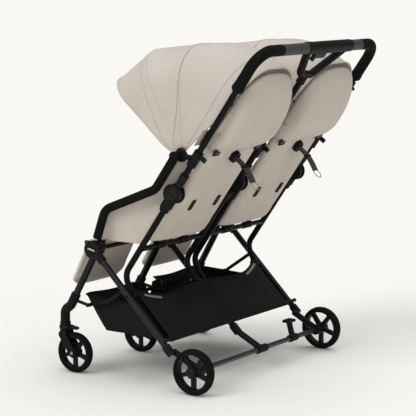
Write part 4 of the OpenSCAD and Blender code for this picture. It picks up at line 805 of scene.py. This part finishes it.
# recline adjuster on each back: six-sided slider, strap tail and wire ring
recline = dict(u=0.364, size=0.0195, strap=0.032, fall=(0.062, -0.072), bow=(0.006, 0.004), ring=0.0145, wire=0.0014,
               layers=((1.0, -0.004), (1.06, 0.002), (1.06, 0.010), (0.97, 0.0135), (0.62, 0.0145), (0.55, 0.0125)))
a = np.radians(np.arange(30.0, 360.0, 60.0))
corners, edges = np.stack([np.cos(a), np.sin(a)], -1), np.stack([-np.sin(a), np.cos(a)], -1)
hexagon = np.repeat(corners, 3, 0) + np.tile([-0.10, 0.0, 0.10], 6)[:, None] * np.repeat(edges, 3, 0)
hexagon = hexagon * recline["size"]
fall = np.array(recline["fall"])
way = fall / np.linalg.norm(fall)
for side, sign in sides.items():
    x, base = sign * seatX, -rearSkin(0.0, recline["u"])
    rings = [onTube(recline["u"] + hexagon[:, 1] * k, -base - d, x + hexagon[:, 0] * k) for k, d in recline["layers"]]
    slider = makeTube("recline_slider_" + side, np.stack(rings), absBlack)
    start = onTube(recline["u"], -base - 0.010, 0.0)[1:]
    t = np.linspace(0, 1, 24)
    line = start + t[:, None] * fall + np.outer(np.sin(np.pi * t), recline["bow"])
    path = np.concatenate([np.full((24, 1), x), line], 1)
    flat = boxSection(recline["strap"], 0.0022, 16)
    strap = runAlong("recline_strap_" + side, path, flat, (1, 0, 0), webbingBlack, webMap(0.024, t * 0.095))
    b = np.linspace(0, 2 * np.pi, 40, endpoint=False)
    centre = start + fall + way * (recline["ring"] - 0.003)
    wirePath = np.column_stack([x + np.sin(b) * recline["ring"], centre + np.outer(np.cos(b), way) * recline["ring"]])
    wireRound = roundSection(recline["wire"], 8)
    wire = runAlong("recline_ring_" + side, wirePath, wireRound, (0, -way[1], way[0]), pinSteel, loop=True)
    keeper = boxSection(recline["strap"] + 0.005, 0.0062, 16)
    clasp = runAlong("recline_keeper_" + side, path[9:12], keeper, (1, 0, 0), absBlack)
    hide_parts("recline_strap_" + side)
    slotNames = ("black_plastic", "strap_webbing", "steel_pin", "black_plastic")
    for piece, slotName in zip((slider, strap, wire, clasp), slotNames):
        fit(piece, "recline_" + side, backFold)
print("back hardware fitted")

# cloth tabs that pass before each push tube and lie on the back beside it
tabs = dict(low=0.392, high=0.448, outer=0.026, inner=-0.002, lap=0.062, clear=0.0122, thick=0.0014)
for side, sign in sides.items():
    for place, nearX, way in (("outer", frameX, -1.0), ("inner", 0.0, 1.0)):
        edge = seatX - way * 0.139
        skin = rearSkin(0.128, tabs["low"]) - 0.0022
        line = rounded([(nearX - way * tabs[place], tabs["clear"]), (nearX + way * 0.010, tabs["clear"]),
                        (edge - way * 0.002, -0.004), (edge + way * 0.002, skin * 0.75), (edge + way * 0.012, skin),
                        (edge + way * tabs["lap"] * 0.7, skin - 0.006)], 60, 3)
        grid = onTube(np.linspace(tabs["low"], tabs["high"], 8)[:, None], line[:, 1], sign * line[:, 0])
        before = onTube(0.42, 0.05, sign * seatX)
        # painted shade: the tabs take the darker cloth because they lie in shade beside the tube
        tab, area = makeSheet("tube_tab_%s_%s" % (place, side), grid, shadeToneCloth, tabs["thick"], before)
        fit(tab, "handle_frame")

# harness: shoulder straps with pads on the back's face, waist and crotch straps on the seat, one buckle
harness = dict(strap=0.022, thick=0.0022, wide=0.062, top=0.40, low=0.058, near=0.024, pad=(0.22, 0.36),
               crotch=((-0.262, 0.4640), (-0.230, 0.4670), (-0.195, 0.4680), (-0.165, 0.4685)),
               buckle=((0.020, 0.0), (0.0235, 0.003), (0.0235, 0.010), (0.020, 0.0135), (0.012, 0.0140),
                       (0.0115, 0.0125)))
for side, sign in sides.items():
    lap = []
    for k, way in enumerate((-1.0, 1.0)):
        u = np.linspace(harness["top"], harness["low"], 60)
        x = sign * seatX + way * (harness["near"] + (harness["wide"] - harness["near"]) * ease((u - 0.05) / 0.33))
        path = onTube(u, backFace((u - backPad["start"]) / backPad["height"]) + 0.0062, x)
        web = boxSection(harness["strap"], harness["thick"], 16)
        ribs = webMap(0.022, u - u[-1])
        strap = runAlong("shoulder_strap_%s_%d" % (side, k), path, web, (1, 0, 0), webbingBlack, ribs)
        fit(strap, "recline_" + side, backFold)
        inPad = (u < harness["pad"][1]) & (u > harness["pad"][0])
        fat = np.sqrt(np.clip(1 - np.abs(np.linspace(-1, 1, inPad.sum())) ** 6, 0.05, 1))
        section = boxSection(0.040, 0.012, 28, 3.5)[None] * np.stack([0.75 + 0.25 * fat, fat], -1)[:, None, :]
        padPath = path[inPad] + tubeFwdWay * 0.0035
        pad = runAlong("shoulder_pad_%s_%d" % (side, k), padPath, section, (1, 0, 0), shadeToneCloth)
        fit(pad, "recline_" + side, backFold)
    path = np.column_stack([np.full(24, sign * seatX), rounded(harness["crotch"], 24, 3)])
    beltMap = webMap(0.03, np.linspace(0, 0.1, 24))
    belt = runAlong("crotch_strap_" + side, path, boxSection(0.030, 0.0024, 16), (1, 0, 0), webbingBlack, beltMap)
    disc = roundSection(1.0, 40)
    rings = [np.column_stack([sign * seatX + disc[:, 0] * r, -0.170 + disc[:, 1] * r * 1.15, np.full(40, 0.4672 + h)])
             for r, h in harness["buckle"]]
    buckle = makeTube("harness_buckle_" + side, np.stack(rings), absBlack)
    for k, way in enumerate((-1.0, 1.0)):
        t = np.linspace(0, 1, 30)
        path = np.stack([sign * seatX + way * (0.018 + 0.112 * t), -0.168 + 0.072 * t ** 1.3,
                         0.4660 + 0.006 * np.sin(np.pi * t) - 0.009 * t], -1)
        web = boxSection(harness["thick"], harness["strap"], 16)
        lap.append(runAlong("lap_strap_%s_%d" % (side, k), path, web, (0, 0, 1), webbingBlack, webMap(0.022, t * 0.13)))
    for piece in (belt, buckle, *lap):
        fit(piece, "rear_frame", seatFold)
print("harness fitted")

# grips: foam round the bends, leatherette on the straight, both carried along the handlebar line
grips = dict(low=0.597, bar=0.738, bend=0.062, rise=0.079, radius=0.0170, wrap=0.0168, left=0.0905, right=-0.1655,
             split=0.055, lap=0.012, stitch=0.0009)


def gripPath(side):  # up the tube, round a quarter circle, along the bar
    sign, bend = sides[side], grips["bend"]
    rise = onTube(np.linspace(grips["low"], grips["bar"] - bend, 24), 0, sign * frameX)
    a = np.linspace(0, np.pi / 2, 26)[1:]
    turn = onTube(grips["bar"] - bend + bend * np.sin(a), 0, sign * (frameX - bend * (1 - np.cos(a))))
    flat = onTube(grips["bar"], 0, np.linspace(sign * (frameX - bend), grips[side], 30)[1:])
    return np.concatenate([rise, turn, flat])


for side in sides:
    path = gripPath(side)
    run = np.concatenate([[0], np.cumsum(np.linalg.norm(np.diff(path, axis=0), axis=1))])
    foamEnd = grips["rise"] + grips["bend"] * np.pi / 2 + grips["split"]
    foamPath, wrapPath = resample(path[run < foamEnd], 90), resample(path[run > foamEnd - grips["lap"]], 40)
    t = np.linspace(0, 1, 90)
    fat = grips["radius"] * (1 + 0.10 * np.exp(-((t - 0.05) / 0.05) ** 2))  # a collar near the lower end
    fat = fat * np.minimum(1, 0.72 + 9 * t) * np.minimum(1, 0.985 + (1 - t) * 0.6)
    foamRings = roundSection(1.0, 32)[None] * fat[:, None, None]
    foam = runAlong("grip_foam_" + side, foamPath, foamRings, tubeFwdWay, foamBlack)
    wrap = runAlong("grip_wrap_" + side, wrapPath, roundSection(grips["wrap"], 32), tubeFwdWay, leatherette)
    seamPath = wrapPath - tubeUpWay * (grips["wrap"] + 0.0001)
    seam = runAlong("grip_seam_" + side, seamPath, roundSection(grips["stitch"], 8), tubeFwdWay, bindingBlack)
    if side == "left":
        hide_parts("grips")
    for piece in (foam, wrap, seam):
        fit(piece, "handle_frame")
print("grips wrapped")

# turned trims as profiles of (radius, distance along the axis)
trim = dict(
    hubCap=((0.0135, -0.002), (0.0135, 0.0018), (0.0122, 0.0034), (0.0085, 0.0042), (0.0080, 0.0034), (0.0030, 0.0036)),
    bolt=((0.0050, -0.001), (0.0050, 0.0016), (0.0042, 0.0026), (0.0028, 0.0028), (0.0024, 0.0018), (0.0008, 0.0018)),
    hubRim=((0.0262, -0.004), (0.0266, -0.0012), (0.024, 0.0012), (0.0216, 0.0012), (0.0206, 0.0004), (0.02, -0.001)),
    canopyHub=((0.0210, -0.0012), (0.0216, 0.0), (0.0208, 0.0012), (0.0060, 0.0014)),
    hingeCap=((0.0215, -0.001), (0.0215, 0.0012), (0.02, 0.0022), (0.009, 0.0026), (0.0084, 0.0018), (0.002, 0.0018)),
    casterCap=((0.0186, 0.0), (0.0192, 0.002), (0.0192, 0.009), (0.0178, 0.0108), (0.0150, 0.011), (0.0148, 0.010)),
    dot=((0.0035, -0.001), (0.0034, 0.0008), (0.0024, 0.0014), (0.0008, 0.0015)))


def spun(name, centre, axis, profile, count, finish, body):  # a profile turned round a line
    axis = np.asarray(axis, float) / np.linalg.norm(axis)
    first = np.cross(axis, (0, 0, 1.0) if abs(axis[2]) < 0.9 else (1.0, 0, 0))
    first /= np.linalg.norm(first)
    a = np.linspace(0, 2 * np.pi, count, endpoint=False)[:, None]
    spoke = np.cos(a) * first + np.sin(a) * np.cross(axis, first)
    rings = np.stack([np.asarray(centre, float) + axis * d + spoke * r for r, d in trim[profile]])
    fit(makeTube(name, rings, finish), body)


for side, sign in sides.items():
    out = (sign, 0, 0)
    at = point(sign * 0.3892, rearAxle)
    spun("rear_hub_cap_" + side, at, out, "hubCap", 32, nylonBlack, "rear_wheel_" + side)
    t = np.linspace(-0.0135, 0.0135, 12)  # plain light bar set in the hub cover
    bar = np.stack([np.full(12, sign * 0.3786), hubAt[0] + t * 0.97, hubAt[1] - t * 0.24], -1)
    inlay = runAlong("hub_inlay_" + side, bar, boxSection(0.0016, 0.0050, 16), (1, 0, 0), inlaySatin)
    fit(inlay, "rear_frame")
    spun("hub_rim_" + side, point(sign * 0.3780, hubAt), out, "hubRim", 48, nylonBlack, "rear_frame")
    for k, u in enumerate((0.168, 0.196)):
        at = onTube(u, 0.0, sign * 0.3590)
        spun("hinge_rivet_%s_%d" % (side, k), at, out, "bolt", 20, nylonBlack, "back_frame")
    at = point(sign * 0.3338, mountAt)
    spun("canopy_hub_" + side, at, out, "canopyHub", 40, nylonBlack, "handle_frame")
    at = point(sign * 0.3592, hingeAt)
    spun("hinge_cap_" + side, at, out, "hingeCap", 40, nylonBlack, "back_frame")
for place, x in (("left", frameX), ("centre", 0.0), ("right", -frameX)):
    for k, way in enumerate((-1.0, 1.0)):
        at = point(x + way * 0.0192, frontAxle)
        spun("caster_bolt_%s_%d" % (place, k), at, (way, 0, 0), "bolt", 20, pinSteel, "caster_" + place)
    at = (x, -0.355, 0.1352)
    spun("caster_cap_" + place, at, (0, 0, 1), "casterCap", 40, nylonBlack, "front_frame")
for k, x in enumerate((-0.068, -0.010)):
    at = onTube(grips["bar"], 0, x) + tubeUpWay * 0.0186
    spun("housing_dot_%d" % k, at, tubeUpWay, "dot", 16, nylonBlack, "handle_frame")
pedal = dict(x=-0.190, half=0.015, ridges=4, rear=0.1272, front=0.1508, top=0.1282)
for k, dx in enumerate(np.linspace(-pedal["half"], pedal["half"], pedal["ridges"])):
    y = np.linspace(pedal["rear"], pedal["front"], 10)
    path = np.stack([np.full(10, pedal["x"] + dx), y, np.full(10, pedal["top"])], -1)
    ridge = runAlong("pedal_ridge_%d" % k, path, boxSection(0.0030, 0.0022, 12, 3.0), (1, 0, 0), nylonBlack)
    fit(ridge, "brake")
print("small fittings done")

# finishes of the frame's own parts
dressSlots(("rear_legs", "front_legs"), legAlloy)
dressSlots(("back_tubes", "seat_crossbars", "handle_tubes", "handlebar"), tubeAlloy)
dressSlots(("rear_axle_tube",), axleAlloy)
dressSlots(("brace_bars", "brace_rods", "basket_bar", "seat_rails"), braceCoat)
dressSlots(("pivot_pins",), pinSteel)
dressSlots(("hub_housings", "rear_wheel_brackets", "axle_tee", "caster_housings", "handle_housing", "mount_blocks",
            "storage_latch", "brake_pedal", "hinge_knuckles"), absBlack)
dressSlots([n for n in nodes if n.startswith("caster_fork_")], absBlack)
dressSlots([n for n in nodes if n.startswith(("swivel_lock_", "canopy_front_bow_"))], nylonBlack)
dressSlots(("hinge_tongues", "lock_sleeves", "fold_trigger", "canopy_mid_bows"), nylonBlack)
dressSlots(("armrests",), foamBlack)
dressSlots([n for n in nodes if "_tyre_" in n], tyreRubber)
dressSlots([n for n in nodes if "_rim_" in n], rimPlastic)

# studio: pale floor, white surround for the eye, soft even lamps
studio = dict(floor="#F2F1ED", surround="#FAF9F5", sky="#F6F5F3", share=0.04, ambient=0.24, half=300.0,
              key=((3.4, -0.8, 2.6), 35.0, 1.45), fill=((2.2, 3.4, 1.8), 60.0, 0.45),
              top=((-0.6, 0.4, 4.0), 70.0, 1.65))


def eyeRays(tree, other):  # one where the eye looks, or the other ray
    rays = addNode(tree, "ShaderNodeLightPath").outputs
    return addNode(tree, "ShaderNodeMath", {0: rays["Is Camera Ray"], 1: rays[other]}, operation="MAXIMUM").outputs[0]


ground, tree, where = startFinish("studio_floor")
white = {"Color": lin(studio["surround"]), "Strength": 1.0}
lit = addNode(tree, "ShaderNodeBsdfDiffuse", None, {"Color": lin(studio["floor"])}).outputs[0]
glow = addNode(tree, "ShaderNodeEmission", None, white).outputs[0]
eyes = eyeRays(tree, "Is Glossy Ray")
seen = addNode(tree, "ShaderNodeMath", {0: eyes}, {1: studio["share"]}, operation="MULTIPLY").outputs[0]
mixed = addNode(tree, "ShaderNodeMixShader", {0: seen, 1: lit, 2: glow}).outputs[0]
addNode(tree, "ShaderNodeOutputMaterial", {"Surface": mixed})
floorCorners = np.array([(-1, -1, 0), (1, -1, 0), (1, 1, 0), (-1, 1, 0)]) * studio["half"]
makePiece("studio_floor", floorCorners, [(0, 1, 2, 3)], ground)
scene = bpy.context.scene
scene.world = bpy.data.worlds.new("studio")
scene.world.use_nodes = True
tree = scene.world.node_tree
tree.nodes.clear()
sky = {"Color": lin(studio["sky"]), "Strength": studio["ambient"]}
soft = addNode(tree, "ShaderNodeBackground", None, sky).outputs[0]
shown = addNode(tree, "ShaderNodeBackground", None, white).outputs[0]
mixed = addNode(tree, "ShaderNodeMixShader", {0: eyeRays(tree, "Is Transmission Ray"), 1: soft, 2: shown}).outputs[0]
addNode(tree, "ShaderNodeOutputWorld", {"Surface": mixed})


def softLamp(name, place, spread, power):  # even light from one side, soft edged, turned to face the middle
    data = bpy.data.lights.new(name, "SUN")
    data.angle, data.energy = math.radians(spread), power
    lamp = bpy.data.objects.new(name, data)
    lamp.location = place
    tilt, turn = math.atan2(math.hypot(place[0], place[1]), place[2]), math.atan2(place[1], place[0])
    lamp.rotation_euler = (tilt, 0.0, turn + math.pi / 2)
    scene.collection.objects.link(lamp)


for name in ("key", "fill", "top"):
    softLamp(name + "_lamp", *studio[name])
scene.view_settings.view_transform = "Standard"

print("scene ready")
